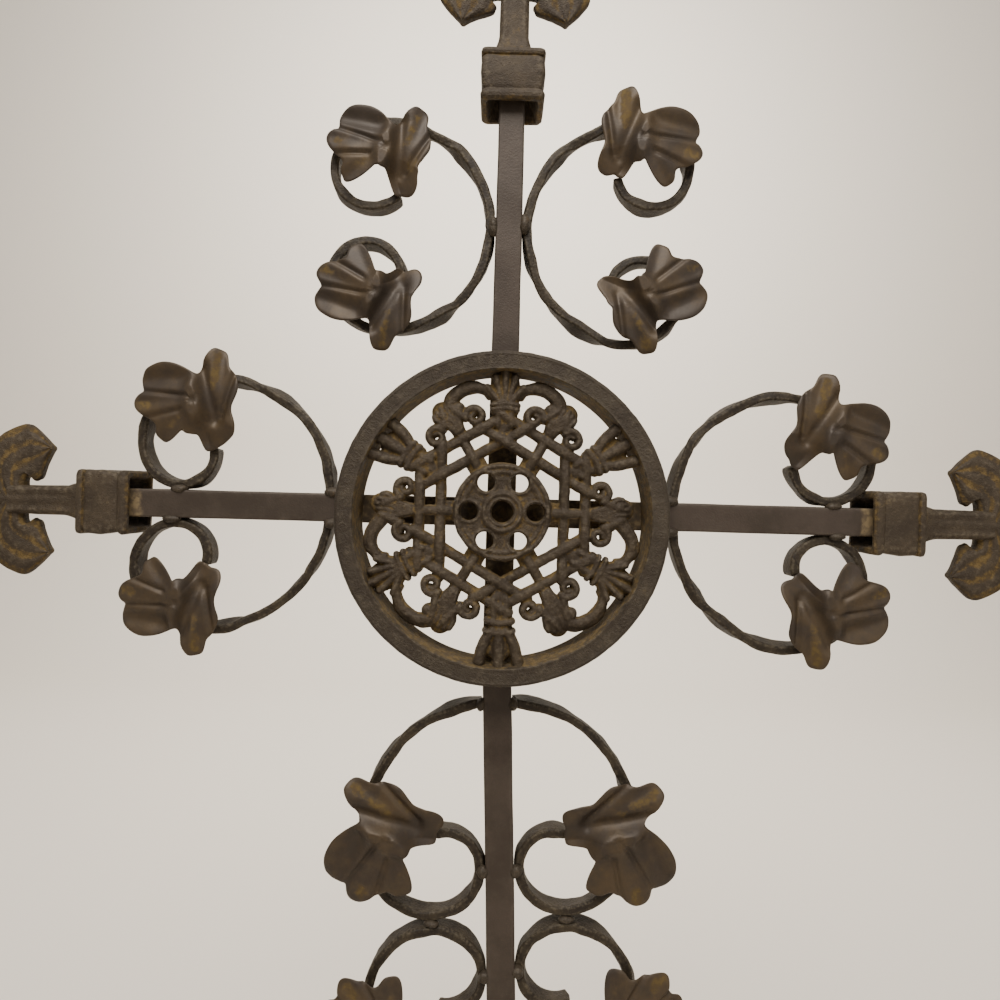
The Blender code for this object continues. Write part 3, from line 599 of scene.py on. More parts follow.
def strip_rings(line, shape, to_plane, seed):
    """Sections of the strip along its line.

    Each is a round-cornered rectangle turned by the ripple, its thickness and depth swollen a
    little by noise along the run as a hammer leaves it, its end drawn in over the last 2 mm.
    """
    outline, near = round_rectangle(STRIP_THICK / 2, STRIP_DEPTH / 2, STRIP_CORNER, 6, 3)
    total = line[0][-1]
    run = np.linspace(0.0, total, int(total / 0.0013))
    ahead, aside, turned = (np.interp(run, line[0], values) for values in line[1:])
    beat = np.stack([run, run * 0.0, run * 0.0], 1)
    thick = 1.0 + 0.11 * noise(beat, 0.0085, seed)
    deep = 0.965 + 0.035 * noise(beat, 0.012, seed + 1)
    turn = ripple(run, shape) * (0.75 + 0.45 * noise(beat, 0.030, seed + 3))
    turn = turn + 0.13 * noise(beat, 0.0095, seed + 2)
    closing = np.sqrt(np.clip((total - run) / 0.0016, 0.02, 1.0))
    off = outline[:, 0] * (thick * closing)[:, None]
    depth = outline[:, 1] * (deep * (0.25 + 0.75 * closing))[:, None]
    t = turn[:, None]
    out = off * np.cos(t) - depth * np.sin(t)
    back = off * np.sin(t) + depth * np.cos(t)
    h = turned[:, None]
    x, z = to_plane(ahead[:, None] - np.sin(h) * out, aside[:, None] + np.cos(h) * out)
    rings = np.stack([x, back, z], -1)
    return rings, np.tile(near, (len(run), 1))


def scroll(name, rings, near, place, lean, seed):
    """One bent strip as a closed skin, roughened by noise of a tenth of a millimetre."""
    rings = leaning(rings, place, lean)
    rings = rings + 0.00024 * np.stack([noise(rings, 0.0055, seed + i) for i in range(3)], -1)
    rings = rings + 0.00010 * np.stack([noise(rings, 0.0022, seed + 5 + i) for i in range(3)], -1)
    points, faces = tube(rings)
    crest = np.concatenate([near.ravel(), [0.5, 0.5]])
    node_name = name.replace(" ", "_")
    piece(node_name + "_strip", points, faces, {"crest": crest, "hollow": np.zeros(len(points))},
          STRIP_FINISH, [node_name])


def leaf_reach(angle, twist):
    """The leaf's edge in a direction, in leaf sizes: half cosine waves from mark to mark, rounded."""
    lean, reach = np.array(LEAF_EDGE + ((LEAF_EDGE[0][0] + 360.0, LEAF_EDGE[0][1]),)).T
    fine = np.arange(-180.0, 180.0, 1.0)
    at = np.searchsorted(lean, fine, side="right") - 1
    way = (fine - lean[at]) / (lean[at + 1] - lean[at])
    value = reach[at] + (reach[at + 1] - reach[at]) * (1.0 - np.cos(math.pi * way)) / 2.0
    spread = np.arange(-7, 8)
    weight = np.exp(-(spread / 3.0) ** 2)
    rounded = sum(w * np.roll(value, -s) for s, w in zip(spread, weight)) / weight.sum()
    return np.interp(np.degrees(angle - twist), fine, rounded, period=360.0)


def leaf_rim(angle, off, seat, seed):
    """Distance of the edge from the hub, off being the angle away from the stalk.

    It is the greater of the stamped edge and the stalk. Narrow slots beside the stalk are closed,
    and noise makes the edge one hundredth ragged.
    """
    reach = leaf_reach(angle, seat["twist"]) * seat["size"]
    stalk = np.minimum(seat["distance"] + STRIP_THICK * 0.4, STALK_HALF / np.maximum(np.sin(off), 1e-6))
    reach = np.maximum(reach, np.where(off < math.pi / 2, stalk, 0.0))
    wide = np.max([np.roll(reach, i) for i in range(-8, 9)], 0)
    closed = np.min([np.roll(wide, i) for i in range(-8, 9)], 0)
    near_base = smooth_step(off, math.radians(46.0), math.radians(32.0))
    reach = reach + (closed - reach) * near_base
    soft = sum(np.roll(reach, i) * (3 - abs(i)) for i in (-2, -1, 0, 1, 2)) / 9.0
    reach = reach + (soft - reach) * near_base
    ragged = noise(np.stack([np.cos(angle), np.sin(angle), angle * 0.0 + seed], -1) * 0.01, 0.0016, seed)
    return reach * (1.0 + 0.012 * ragged)


def ridge(x, z, entry):
    """One fold's or stain's field: its height times exp(-(distance from its chord / half width)^2)."""
    high, half, *marks = entry
    (ax, az), (bx, bz) = [(r * math.cos(math.radians(a)), r * math.sin(math.radians(a))) for a, r in marks]
    dx, dz = bx - ax, bz - az
    t = np.clip(((x - ax) * dx + (z - az) * dz) / (dx * dx + dz * dz), 0.0, 1.0)
    return high * np.exp(-(np.hypot(x - ax - t * dx, z - az - t * dz) / half) ** 2)


def leaf(name, tip, heading, to_plane, place, lean, seed):
    """A stamped leaf of two wings in front of its scroll, welded on by its stalk.

    The skin's two parameters are the direction about the hub and the way from the hub over the
    front to the rim and back behind. The height is a low dome, plus for each fold its height times
    exp(-(distance from the fold's chord / half width)^2). It sinks to the strip along the stalk.
    """
    seat = LEAF_SEATS[name]
    size = seat["size"]
    axis = heading + seat["bearing"]
    hub = (tip[0] + math.cos(axis) * seat["distance"], tip[1] + math.sin(axis) * seat["distance"])
    angle = np.linspace(-math.pi, math.pi, LEAF_AROUND, endpoint=False)
    off = np.abs((angle + math.tau) % math.tau - math.pi)
    share = np.sin(np.linspace(0.0, math.pi / 2, LEAF_OUT + 1)[1:]) ** 1.1
    r = leaf_rim(angle, off, seat, seed)[:, None] * share
    a = np.broadcast_to(angle[:, None], r.shape)
    u = r / size
    lx, lz = u * np.cos(a - seat["twist"]), u * np.sin(a - seat["twist"])
    folds = sum(ridge(lx, lz, entry) for entry in LEAF_FOLDS)
    stain = sum(ridge(lx, lz, entry) for entry in LEAF_STAINS)
    stalk_share = np.clip(off[:, None] / math.radians(42.0), 0.0, 1.0)
    settle = 1.0 - (1.0 - stalk_share) * smooth_step(r, 0.15 * seat["distance"], 0.95 * seat["distance"])
    plan = np.stack([hub[0] + np.cos(axis + a) * r, np.full(r.shape, seed * 0.1),
                     hub[1] + np.sin(axis + a) * r], -1)
    dome = LEAF_RISE * 0.80 * np.clip(1.0 - u ** 1.5, 0.0, 1.0) + 0.0030
    height = (dome + folds * size * smooth_step(u, 0.02, 0.10)) * settle
    height = height + 0.00030 * noise(plan, 0.0075, seed) * smooth_step(u, 0.1, 0.4)
    height = np.clip(height, -0.0003, LEAF_RISE + 0.0020)
    rim = np.sqrt(np.clip((1.0 - share) / 0.05, 0.0, 1.0))
    x, z = to_plane(plan[..., 0], plan[..., 2])
    base = -(STRIP_DEPTH / 2 + LEAF_CLEAR) - height - LEAF_THICK / 2
    front = np.stack([x, base - LEAF_THICK / 2 * rim, z], -1)
    back = np.stack([x, base + LEAF_THICK / 2 * rim, z], -1)[:, :-1][:, ::-1]
    hx, hz = to_plane(*hub)
    hub_y = front[:, 0, 1].mean()
    first, last = [[hx, hub_y, hz]], [[hx, hub_y + LEAF_THICK, hz]]
    sheet = np.concatenate([front, back], 1)
    rows, columns = sheet.shape[:2]
    points = np.concatenate([sheet.reshape(-1, 3), first, last])
    here = np.arange(rows) * columns
    there = np.roll(here, -1)
    pole, other = rows * columns, rows * columns + 1
    faces = [grid_quads(rows, columns, True, False),
             np.stack([here, there, np.full(rows, pole)], 1),
             np.stack([there + columns - 1, here + columns - 1, np.full(rows, other)], 1)]
    worn = smooth_step(share, 0.97, 1.0) * np.ones(r.shape) * 0.3
    hollow = np.concatenate([stain, stain[:, :-1][:, ::-1] * 0.4], 1).ravel()
    crest = np.concatenate([worn, worn[:, :-1][:, ::-1]], 1).ravel()
    node_name = name.replace(" ", "_")
    points = leaning(points, place, lean)
    piece(node_name + "_stamped_leaf", points, faces,
          {"hollow": np.append(hollow, [0.0, 0.0]), "crest": np.append(crest, [0.0, 0.0])},
          LEAF_FINISH, [node_name + "_leaf"], 60.0)


def top_scrolls():
    """A C scroll on each side of the upright above the medallion, with a leaf on each tip."""
    for side, sign in (("left", -1), ("right", 1)):
        share = min(max(BELLY_RISE / TOP_MOUTH, 0.0), 1.0)
        shaft = (SHAFT_WIDTH + (TOP_WIDTH - SHAFT_WIDTH) * share) / 2
        belly = shaft + GAP + STRIP_THICK / 2
        halves = []
        for end, way in (("upper", 1), ("lower", -1)):
            shape = TOP_ENDS[side + " " + end]
            line = end_line(shape, 0.0, (0.0, belly))

            def to_plane(a, b, way=way):
                return sign * b, BELLY_RISE + way * a

            seed = 20 + 7 * sign + 3 * way
            halves.append(strip_rings(line, shape, to_plane, seed))
            leaf("top " + side + " " + end, (line[1][-1], line[2][-1]), line[3][-1], to_plane,
                 CROSSING, 0.0, seed)
        (upper, near_up), (lower, near_low) = halves
        rings = np.concatenate([lower[:0:-1], upper])
        scroll("top " + side + " scroll", rings, np.concatenate([near_low[:0:-1], near_up]),
               CROSSING, 0.0, 31 + sign)


def arm_scrolls():
    """Four scrolls that run from the medallion's edge to rest on the crossbar."""
    for side, sign in (("left", -1), ("right", 1)):
        for end, way in (("upper", 1), ("lower", -1)):
            shape = ARM_ENDS[side + " " + end]
            line = rooted_line(shape, ARM_WIDTH / 2, ARM_START)

            def to_plane(a, b, way=way, sign=sign):
                return sign * b, way * a

            seed = 50 + 7 * sign + 3 * way
            rings, near = strip_rings(line, shape, to_plane, seed)
            scroll("arm " + side + " " + end + " scroll", rings, near, CROSSING, 0.0, seed)
            leaf("arm " + side + " " + end, (line[1][-1], line[2][-1]), line[3][-1], to_plane,
                 CROSSING, 0.0, seed)


def lower_scrolls():
    """Two pairs of scrolls on the shaft below the medallion, the second a mirror of the first."""
    for side, sign in (("left", -1), ("right", 1)):
        shape = LOWER_ENDS[side]
        line = rooted_line(shape, SHAFT_WIDTH / 2, LOWER_START)
        deepest = line[2].max() + STRIP_THICK / 2
        middle = deepest + PAIR_GAP / 2
        for pair, mirrored in (("lower", False), ("foot", True)):

            def to_plane(a, b, sign=sign, mirrored=mirrored):
                down = 2 * middle - b if mirrored else b
                return sign * a, BEND_DROP - down

            seed = 80 + 7 * sign + (3 if mirrored else 0)
            rings, near = strip_rings(line, shape, to_plane, seed)
            scroll(pair + " " + side + " scroll", rings, near, BEND, -SHAFT_LEAN, seed)
            leaf(pair + " " + side, (line[1][-1], line[2][-1]), line[3][-1], to_plane,
                 BEND, -SHAFT_LEAN, seed)


# Medallion

FRONT = -BAR_DEPTH / 2
RING_BACK = FRONT - GAP
RING_FRONT = RING_BACK - RING_DEPTH
ROSETTE_PLACE = CROSSING + (MEDALLION_SHIFT, 0.0, ROSETTE_RISE)
STAMPS = 84
STAMP_CIRCLE = 0.0852
STAMP_RADIUS = 0.00255
RING_STEPS = 14 * STAMPS
ROSETTE_PITCH = 0.00054
ROSETTE_COUNT = 165


def ring():
    """The heavy ring, a section carried round a circle.

    The section is a rectangle with a broad round outer front edge and small ones elsewhere.
    Its front face carries a row of small rings with a dot, a quarter of a millimetre deep.
    """
    inner = RING_RADIUS - RING_BAND
    edge = RING_BAND * 0.30
    lip = 0.0009
    bend = np.linspace(0.0, math.pi / 2, 8)
    outer_edge = np.stack([RING_RADIUS - edge * 0.8 + edge * 0.8 * np.sin(bend[::-1]),
                           RING_FRONT + edge - edge * np.cos(bend[::-1])], 1)
    face = np.linspace(RING_RADIUS - edge * 0.85, inner + edge * 0.3 + lip, 20)
    inner_edge = np.stack([inner + edge * 0.3 + lip - lip * np.sin(bend[:5] * 14 / 8),
                           RING_FRONT + lip - lip * np.cos(bend[:5] * 14 / 8)], 1)
    wall_out = np.linspace(RING_BACK - lip, RING_FRONT + edge + 0.0005, 10)
    wall_out = np.stack([np.full(10, RING_RADIUS), wall_out], 1)
    wall_in = np.linspace(0.0, 1.0, 12)[1:]
    wall_in = np.stack([inner + edge * 0.3 - (edge * 0.5) * wall_in,
                        RING_FRONT + lip + (RING_BACK - RING_FRONT - 2 * lip) * wall_in], 1)
    back = np.stack([np.linspace(inner - edge * 0.2 + lip, RING_RADIUS - lip, 8), np.full(8, RING_BACK)], 1)
    section = np.concatenate([wall_out, outer_edge, np.stack([face, np.full(20, RING_FRONT)], 1)[1:],
                              inner_edge[1:], wall_in, back])
    steps = RING_STEPS
    angle = np.linspace(0.0, math.tau, steps, endpoint=False)
    radius, depth = section[:, 0], section[:, 1]
    r = np.broadcast_to(radius, (steps, len(radius))).copy()
    y = np.broadcast_to(depth, (steps, len(radius))).copy()
    phase = (angle * STAMPS / math.tau + 0.5) % 1.0 - 0.5
    across = (phase * math.tau / STAMPS * STAMP_CIRCLE)[:, None]
    away = np.hypot(r - STAMP_CIRCLE, across)
    on_face = (np.abs(y - RING_FRONT) < 1e-5)
    hoop = np.exp(-((away - STAMP_RADIUS * 0.80) / 0.00042) ** 2)
    dot = np.exp(-(away / 0.00055) ** 2)
    mark = (hoop + dot) * on_face
    y += 0.00016 * (1.0 - mark) * on_face * smooth_step(np.abs(r - STAMP_CIRCLE), 0.0040, 0.0030)
    flat = np.stack([r * np.cos(angle)[:, None], y, r * np.sin(angle)[:, None] - RING_DROP], -1)
    rough = noise(flat, 0.0016, 5) * 0.5 + noise(flat, 0.0045, 6)
    r = r - 0.00018 + 0.00016 * rough * (np.abs(radius - RING_RADIUS) < 0.006) * (1.0 - on_face)
    y = y + 0.00012 * (rough + 1.6) * on_face
    points = np.stack([r * np.cos(angle)[:, None], y, r * np.sin(angle)[:, None] - RING_DROP], -1)
    inside = smooth_step(radius, inner + 0.0022, inner + 0.0004)
    hollow = np.broadcast_to(inside, r.shape) * 1.0
    hollow = np.maximum(hollow, 0.15 * (1.0 - mark) * on_face)
    crest = np.maximum(mark * 0.3, np.broadcast_to(np.exp(-((radius - inner - 0.0014) / 0.0006) ** 2)
                                                   * (depth < RING_FRONT + 0.001), r.shape) * 0.8)
    points, faces = tube(points + ROSETTE_PLACE, True)
    piece("medallion_ring", points, faces, {"hollow": hollow, "crest": crest}, RING_FINISH,
          ["medallion"], 40.0)


# The rosette's strokes: each is a line of stations with its half width, front height and lift

def turned(points, degrees):
    """Plan points turned about the rosette's middle."""
    c, s = math.cos(math.radians(degrees)), math.sin(math.radians(degrees))
    return np.stack([points[:, 0] * c - points[:, 1] * s, points[:, 0] * s + points[:, 1] * c], 1)


def polar(stations):
    """Plan points from radius and bearing pairs, in millimetres and degrees.

    The ring's middle is lower than the rosette's, so outer points are carried down with it.
    """
    r, a = np.array(stations, float).T
    a = np.radians(a)
    r = r / 1000.0 - RING_DROP * np.sin(a) * smooth_step(r, 50.0, 66.0)
    return np.stack([r * np.cos(a), r * np.sin(a)], 1)


def eased(points, count):
    """A smooth line through points by chords whose corners are rounded twice."""
    line = np.asarray(points, float)
    for _ in range(count):
        quarter, three = line[:-1] * 0.75 + line[1:] * 0.25, line[:-1] * 0.25 + line[1:] * 0.75
        line = np.concatenate([line[:1], np.stack([quarter, three], 1).reshape(-1, line.shape[1]), line[-1:]])
    return line


def stroke(points, half, height, lift=0.0):
    """One rounded strand: plan points, half widths, front heights and lifts."""
    return [points] + [np.broadcast_to(np.asarray(v, float), (len(points),)) for v in (half, height, lift)]


def strap_strokes():
    """Twelve straight straps of the six-pointed interlace and six strands out from the boss.

    Each rises and dips where it crosses the others.
    """
    strokes = []
    root = math.sin(math.radians(60.0))
    inner_crossing = INNER_STRAP * math.tan(math.radians(30.0))
    inner_far = (OUTER_STRAP - INNER_STRAP * 0.5) / root
    outer_near = (INNER_STRAP - OUTER_STRAP * 0.5) / root
    outer_far = OUTER_STRAP * math.tan(math.radians(30.0))
    for k in range(6):
        for distance, near, far, sign, tail in (
                (INNER_STRAP, inner_crossing, inner_far, 1.0, 0.0036),
                (OUTER_STRAP, outer_near, outer_far, -1.0, 0.0052)):
            s = np.linspace(-far - tail, far + tail, 41)
            lift = softened(np.interp(s, (-far - tail, -far, -near, near, far, far + tail),
                                      np.array((0.3, 1.0, -1.0, 1.0, -1.0, -0.6)) * sign))
            points = np.stack([np.full(len(s), distance), s], 1)
            strokes.append(stroke(turned(points, 60.0 * k), STRAP_HALF, 0.0036, 0.0015 * lift))
        way_out = np.array([[r / 1000.0, 0.0] for r in (25.0, 30.0, 33.5, 39.0, 45.0, 49.0, 54.0)])
        strokes.append(stroke(turned(way_out, 60.0 * k), 0.0029, 0.0036,
                              np.array((-0.6, 0.6, 1.6, 0.2, -1.2, -0.6, 0.0)) * 0.001))
    return strokes


def tie(r, axis, spread, bow, half, height):
    """A bowed band across a knot, the same way to each side of its axis."""
    return stroke(polar([(r, axis - spread), (r + bow, axis), (r, axis + spread)]), half, height, 0.0010)


def palmette_strokes(axis, reach):
    """A fan of five lobes tied by a band, with a C-shaped arm and ball on each side."""
    strokes = []
    for lean, length, half in ((0.0, reach, 2.2), (-4.2, 76.6, 2.0), (4.2, 76.6, 2.0),
                               (-8.2, 71.5, 1.9), (8.2, 71.5, 1.9)):
        line = eased(polar([(60.0, axis + lean * 0.20), (66.0, axis + lean * 0.62),
                            (length, axis + lean)]), 2)
        s = np.linspace(0.0, 1.0, len(line))
        strokes.append(stroke(line, half * 0.001 * (0.80 + 0.35 * s), 0.0042, 0.0006 + 0.0002 * s))
    strokes.append(stroke(polar([(60.0, axis), (72.0, axis)]), np.array([0.0052, 0.0080]), 0.0030, -0.0002))
    strokes.append(stroke(polar([(46.0, axis), (60.0, axis)]), 0.0054, 0.0034, -0.0004))
    for side in (-1, 1):
        strokes.append(stroke(polar([(47.5, axis + side * 4.4), (58.0, axis + side * 3.0)]), 0.0025, 0.0042))
        level = abs(math.sin(math.radians(axis + side * 30.0))) < 0.5
        ball = (LEVEL_BALL_CIRCLE if level else BALL_CIRCLE) * 1000.0
        arm = eased(polar([(61.5, axis + side * 3.0), (67.5, axis + side * 6.0), (71.2, axis + side * 10.0),
                           (72.6, axis + side * 14.5), (72.4 - (70.0 - ball) * 0.3, axis + side * 19.5),
                           (ball + 0.8, axis + side * 24.0), (ball - 3.2, axis + side * 27.6),
                           (ball - 6.4, axis + side * 27.4), (ball - 6.2, axis + side * 24.6)]), 2)
        s = np.linspace(0.0, 1.0, len(arm))
        strokes.append(stroke(arm, 0.0028 + 0.0010 * s, 0.0040, -0.0004 + 0.0010 * s))
        back = eased(polar([(66.0, axis + side * 8.0), (73.6, axis + side * 11.0), (75.6, axis + side * 15.5),
                            (75.0 - (70.0 - ball) * 0.4, axis + side * 21.0),
                            (ball + 2.6, axis + side * 26.5), (ball - 2.0, axis + side * 30.0)]), 2)
        strokes.append(stroke(back, 0.0017, 0.0034, -0.0006))
    for r in (57.4, 60.8):
        strokes.append(tie(r, axis, 6.6, 0.4, 0.0018, 0.0042))
    return strokes


def claw_strokes(axis, reach):
    """A knot with three thick fingers that grip the ring."""
    strokes = [stroke(polar([(46.0, axis), (62.0, axis)]), 0.0052, 0.0034, -0.0004),
               stroke(polar([(60.0, axis), (70.0, axis)]), np.array([0.0060, 0.0078]), 0.0034, -0.0002)]
    for side in (-1, 1):
        strokes.append(stroke(polar([(47.5, axis + side * 4.2), (57.0, axis + side * 3.0)]), 0.0025, 0.0042))
    for r, half in ((57.8, 0.0023), (62.0, 0.0022)):
        strokes.append(tie(r, axis, 6.2, 0.5, half, 0.0046))
    for lean, length, half in ((0.0, reach, 3.7), (-7.4, reach - 5.0, 3.3), (7.4, reach - 4.0, 3.3)):
        line = eased(polar([(61.0, axis + lean * 0.40), (67.5, axis + lean * 0.90),
                            (length, axis + lean)]), 2)
        s = np.linspace(0.0, 1.0, len(line))
        strokes.append(stroke(line, half * 0.001 * (0.78 + 0.28 * s), 0.0046, 0.0006 + 0.0006 * s))
    return strokes


def husk_strokes(axis, side):
    """A ribbed husk under an arm's ball, which parts into two volutes."""
    strokes = []
    tip = axis + side * 2.5
    for lean in (-1.0, -0.5, 0.0, 0.5, 1.0):
        line = eased(polar([(68.0 - 1.5 * abs(lean), tip + lean * 4.6), (62.5, tip + lean * 5.0),
                            (56.0, axis + lean * 3.6), (49.0, axis + lean * 2.0)]), 2)
        s = np.linspace(0.0, 1.0, len(line))
        strokes.append(stroke(line, 0.0013 + 0.0007 * np.sin(math.pi * s), 0.0038,
                              0.0008 * np.sin(math.pi * s)))
    strokes.append(stroke(polar([(66.0, tip), (56.0, axis), (47.0, axis)]),
                          np.array([0.0058, 0.0048, 0.0034]), 0.0030, -0.0006))
    for way in (-1, 1):
        centre = polar([(54.2, axis + way * 12.6)])[0]
        turn = np.linspace(0.0, 1.0, 30)
        spin = math.radians(axis) - way * math.radians(100.0) + way * turn * math.radians(470.0)
        radius = 0.0055 - 0.0038 * turn
        curl = centre + np.stack([np.cos(spin) * radius, np.sin(spin) * radius], 1)
        root = polar([(64.0, axis + way * 3.0), (59.5, axis + way * 5.0)])
        line = np.concatenate([root, curl[2:]])
        s = np.linspace(0.0, 1.0, len(line))
        strokes.append(stroke(line, 0.0026 - 0.0007 * s, 0.0044, 0.0012 * (1.0 - s) - 0.0004))
    return strokes


def lay(stroke_set, x, z):
    """Fields of a set of strokes over the plan grid.

    For each chord of a strand the distance to its line is taken, and the strand's own half width,
    height and lift are read at the foot of that distance. Inside is half width less distance.
    The front height is lift plus height times the round profile (1 - (distance/half)^2.4)^0.5.
    """
    inside = np.full(x.shape, -0.01)
    front = np.full(x.shape, -0.01)
    pitch = x[1, 0] - x[0, 0]
    low = x[0, 0]
    for points, half, height, lift in stroke_set:
        for i in range(len(points) - 1):
            a, b = points[i], points[i + 1]
            reach = max(half[i], half[i + 1]) * 1.9
            i0, j0 = (np.floor((np.minimum(a, b) - reach - low) / pitch)).astype(int).clip(0)
            i1, j1 = (np.ceil((np.maximum(a, b) + reach - low) / pitch)).astype(int) + 1
            window = (slice(i0, i1), slice(j0, j1))
            px, pz = x[window] - a[0], z[window] - a[1]
            d = b - a
            t = np.clip((px * d[0] + pz * d[1]) / max(d @ d, 1e-12), 0.0, 1.0)
            away = np.hypot(px - t * d[0], pz - t * d[1])
            w = half[i] + (half[i + 1] - half[i]) * t
            up = height[i] + (height[i + 1] - height[i]) * t
            rise = lift[i] + (lift[i + 1] - lift[i]) * t
            q = np.clip(away / w, 0.0, 1.0)
            shape = rise + up * np.sqrt(np.clip(1.0 - q ** 2.4, 0.0, 1.0))
            shape = np.where(away < w, shape, -0.01)
            inside[window] = np.maximum(inside[window], w - away)
            front[window] = np.maximum(front[window], shape)
    return inside, front


def blurred(field, weight, times):
    """A field smoothed by its neighbours, counting only where the weight is."""
    def pass_over(f):
        f = np.pad(f, 1, mode="edge")
        f = (f[:-2] + 2.0 * f[1:-1] + f[2:]) / 4.0
        return (f[:, :-2] + 2.0 * f[:, 1:-1] + f[:, 2:]) / 4.0
    top, bottom = field * weight, weight.astype(float)
    for _ in range(times):
        top, bottom = pass_over(top), pass_over(bottom)
    return np.where(bottom > 1e-9, top / np.maximum(bottom, 1e-9), field)


# The boss's front height along its radius, in millimetres
BOSS_PROFILE = (
    (0.0, 5.4), (5.8, 5.4), (6.6, 6.1), (7.6, 5.9), (8.3, 4.9), (9.6, 6.5), (10.8, 5.8), (11.8, 4.2),
    (14.0, 4.0), (20.0, 4.1), (21.2, 5.4), (22.4, 5.5), (23.3, 4.7), (24.6, 6.2), (25.6, 6.0), (26.4, 3.6),
)


def rosette_fields(x, z):
    """Inside distance and front height of the rosette over the plan.

    Strands, husks and palmettes are the highest of their round profiles, the boss a turned
    profile with six lipped holes and an eye.
    """
    strokes = strap_strokes()
    for k in range(6):
        axis = 30.0 + 60.0 * k
        reach = (RING_RADIUS - RING_BAND * 0.62) * 1000.0
        strokes += palmette_strokes(axis, reach) if k % 2 else claw_strokes(axis, reach)
        strokes += husk_strokes(60.0 * k, 1 if k % 2 == 0 else -1)
    inside, front = lay(strokes, x, z)
    r = np.hypot(x, z)
    bearing = np.arctan2(z, x)
    web = np.minimum(INNER_STRAP - r * 0.97, 0.0056 - np.abs(((bearing / math.tau * 6 + 0.5) % 1 - 0.5)
                                                            * math.tau / 6 * r))
    front = np.maximum(front, np.where(web > 0.0, 0.0012, -0.01))
    inside = np.maximum(inside, web)
    boss = BOSS_RADIUS - r
    radial, high = np.array(BOSS_PROFILE).T / 1000.0
    front = np.where(boss > 0.0, np.maximum(front, np.interp(r, radial, high)), front)
    inside = np.maximum(inside, boss)
    for k in range(6):
        angle = math.radians(60.0 * k)
        away = np.hypot(x - BOSS_HOLE_CIRCLE * math.cos(angle), z - BOSS_HOLE_CIRCLE * math.sin(angle))
        edge = away - BOSS_HOLE
        front = front + np.where(boss > 0.0, 0.0013 * np.exp(-((edge - 0.0009) / 0.0008) ** 2), 0.0)
        inside = np.minimum(inside, edge)
    return np.minimum(inside, r - EYE_HOLE), front


def rosette():
    """The interlaced rosette as a height over a plan grid, front and back joined along its edge.

    Points next to the edge are moved on to it along the slope of the inside distance, so the
    outline is smooth.
    """
    pitch = ROSETTE_PITCH
    at = np.arange(-ROSETTE_COUNT, ROSETTE_COUNT + 1) * pitch
    x, z = np.meshgrid(at, at, indexing="ij")
    inside, front = rosette_fields(x, z)
    solid_here = inside > -0.5 * pitch
    front = blurred(front, front > -0.005, 1)
    worn = np.stack([x, x * 0.0, z], -1)
    front = front + 0.00022 * noise(worn, 0.0022, 9) + 0.00016 * noise(worn, 0.0009, 10)
    inside = inside + 0.00018 * noise(worn, 0.0030, 12)
    edge_round = np.sqrt(np.clip(1.0 - (1.0 - np.clip(inside / 0.0014, 0.0, 1.0)) ** 2.2, 0.0, 1.0))
    front = np.maximum(front, -0.0020) * edge_round
    rear = -0.0038 * np.sqrt(np.clip(1.0 - (1.0 - np.clip(inside / 0.0010, 0.0, 1.0)) ** 3, 0.0, 1.0))
    rear = rear + 0.00010 * noise(worn, 0.0028, 14) * edge_round

    n = len(at)
    middle = (inside[:-1, :-1] + inside[1:, :-1] + inside[:-1, 1:] + inside[1:, 1:]) / 4.0
    kept = middle > 0.0
    used = np.zeros((n, n), bool)
    full = np.ones((n, n), bool)
    for i in (0, 1):
        for j in (0, 1):
            window = (slice(i, n - 1 + i), slice(j, n - 1 + j))
            used[window] |= kept
            full[window] &= kept
    full[0] = full[-1] = full[:, 0] = full[:, -1] = False
    rim = used & ~full
    slope_x, slope_z = np.gradient(inside, pitch)
    steep = np.maximum(slope_x ** 2 + slope_z ** 2, 0.2)
    move = np.clip(-inside / steep, -0.8 * pitch, 0.8 * pitch) * rim
    px, pz = x + move * slope_x, z + move * slope_z
    front_y, rear_y = np.where(rim, 0.0, front), np.where(rim, 0.0, rear)
    low_front = blurred(front, solid_here, 9)
    hollow = np.clip((low_front - front) / 0.0009 + 0.12, 0.0, 1.0)
    crest = np.clip((front - low_front) / 0.0010, 0.0, 1.0)
    deep_part = smooth_step(front, 0.0032, 0.0010) * 0.8
    hollow = np.maximum(hollow, deep_part)

    number = np.full((n, n), -1)
    number[used] = np.arange(used.sum())
    total = int(used.sum())
    rear_number = np.where(rim, number, -1)
    only_rear = used & ~rim
    rear_number[only_rear] = total + np.arange(only_rear.sum())
    points = np.concatenate([np.stack([px[used], -front_y[used], pz[used]], 1),
                             np.stack([px[only_rear], -rear_y[only_rear], pz[only_rear]], 1)])
    points[:, 1] += RING_FRONT + RING_DEPTH * 0.22 + STRAP_THICK / 2
    i, j = np.nonzero(kept)
    face_front = np.stack([number[i, j], number[i + 1, j], number[i + 1, j + 1], number[i, j + 1]], 1)
    face_rear = np.stack([rear_number[i, j], rear_number[i, j + 1], rear_number[i + 1, j + 1],
                          rear_number[i + 1, j]], 1)
    marks = {"hollow": np.append(hollow[used], np.full(only_rear.sum(), 0.4)),
             "crest": np.append(crest[used], np.zeros(only_rear.sum()))}
    piece("medallion_rosette", points + ROSETTE_PLACE, [face_front, face_rear], marks, CAST_FINISH,
          ["medallion"], 75.0)


# Finials

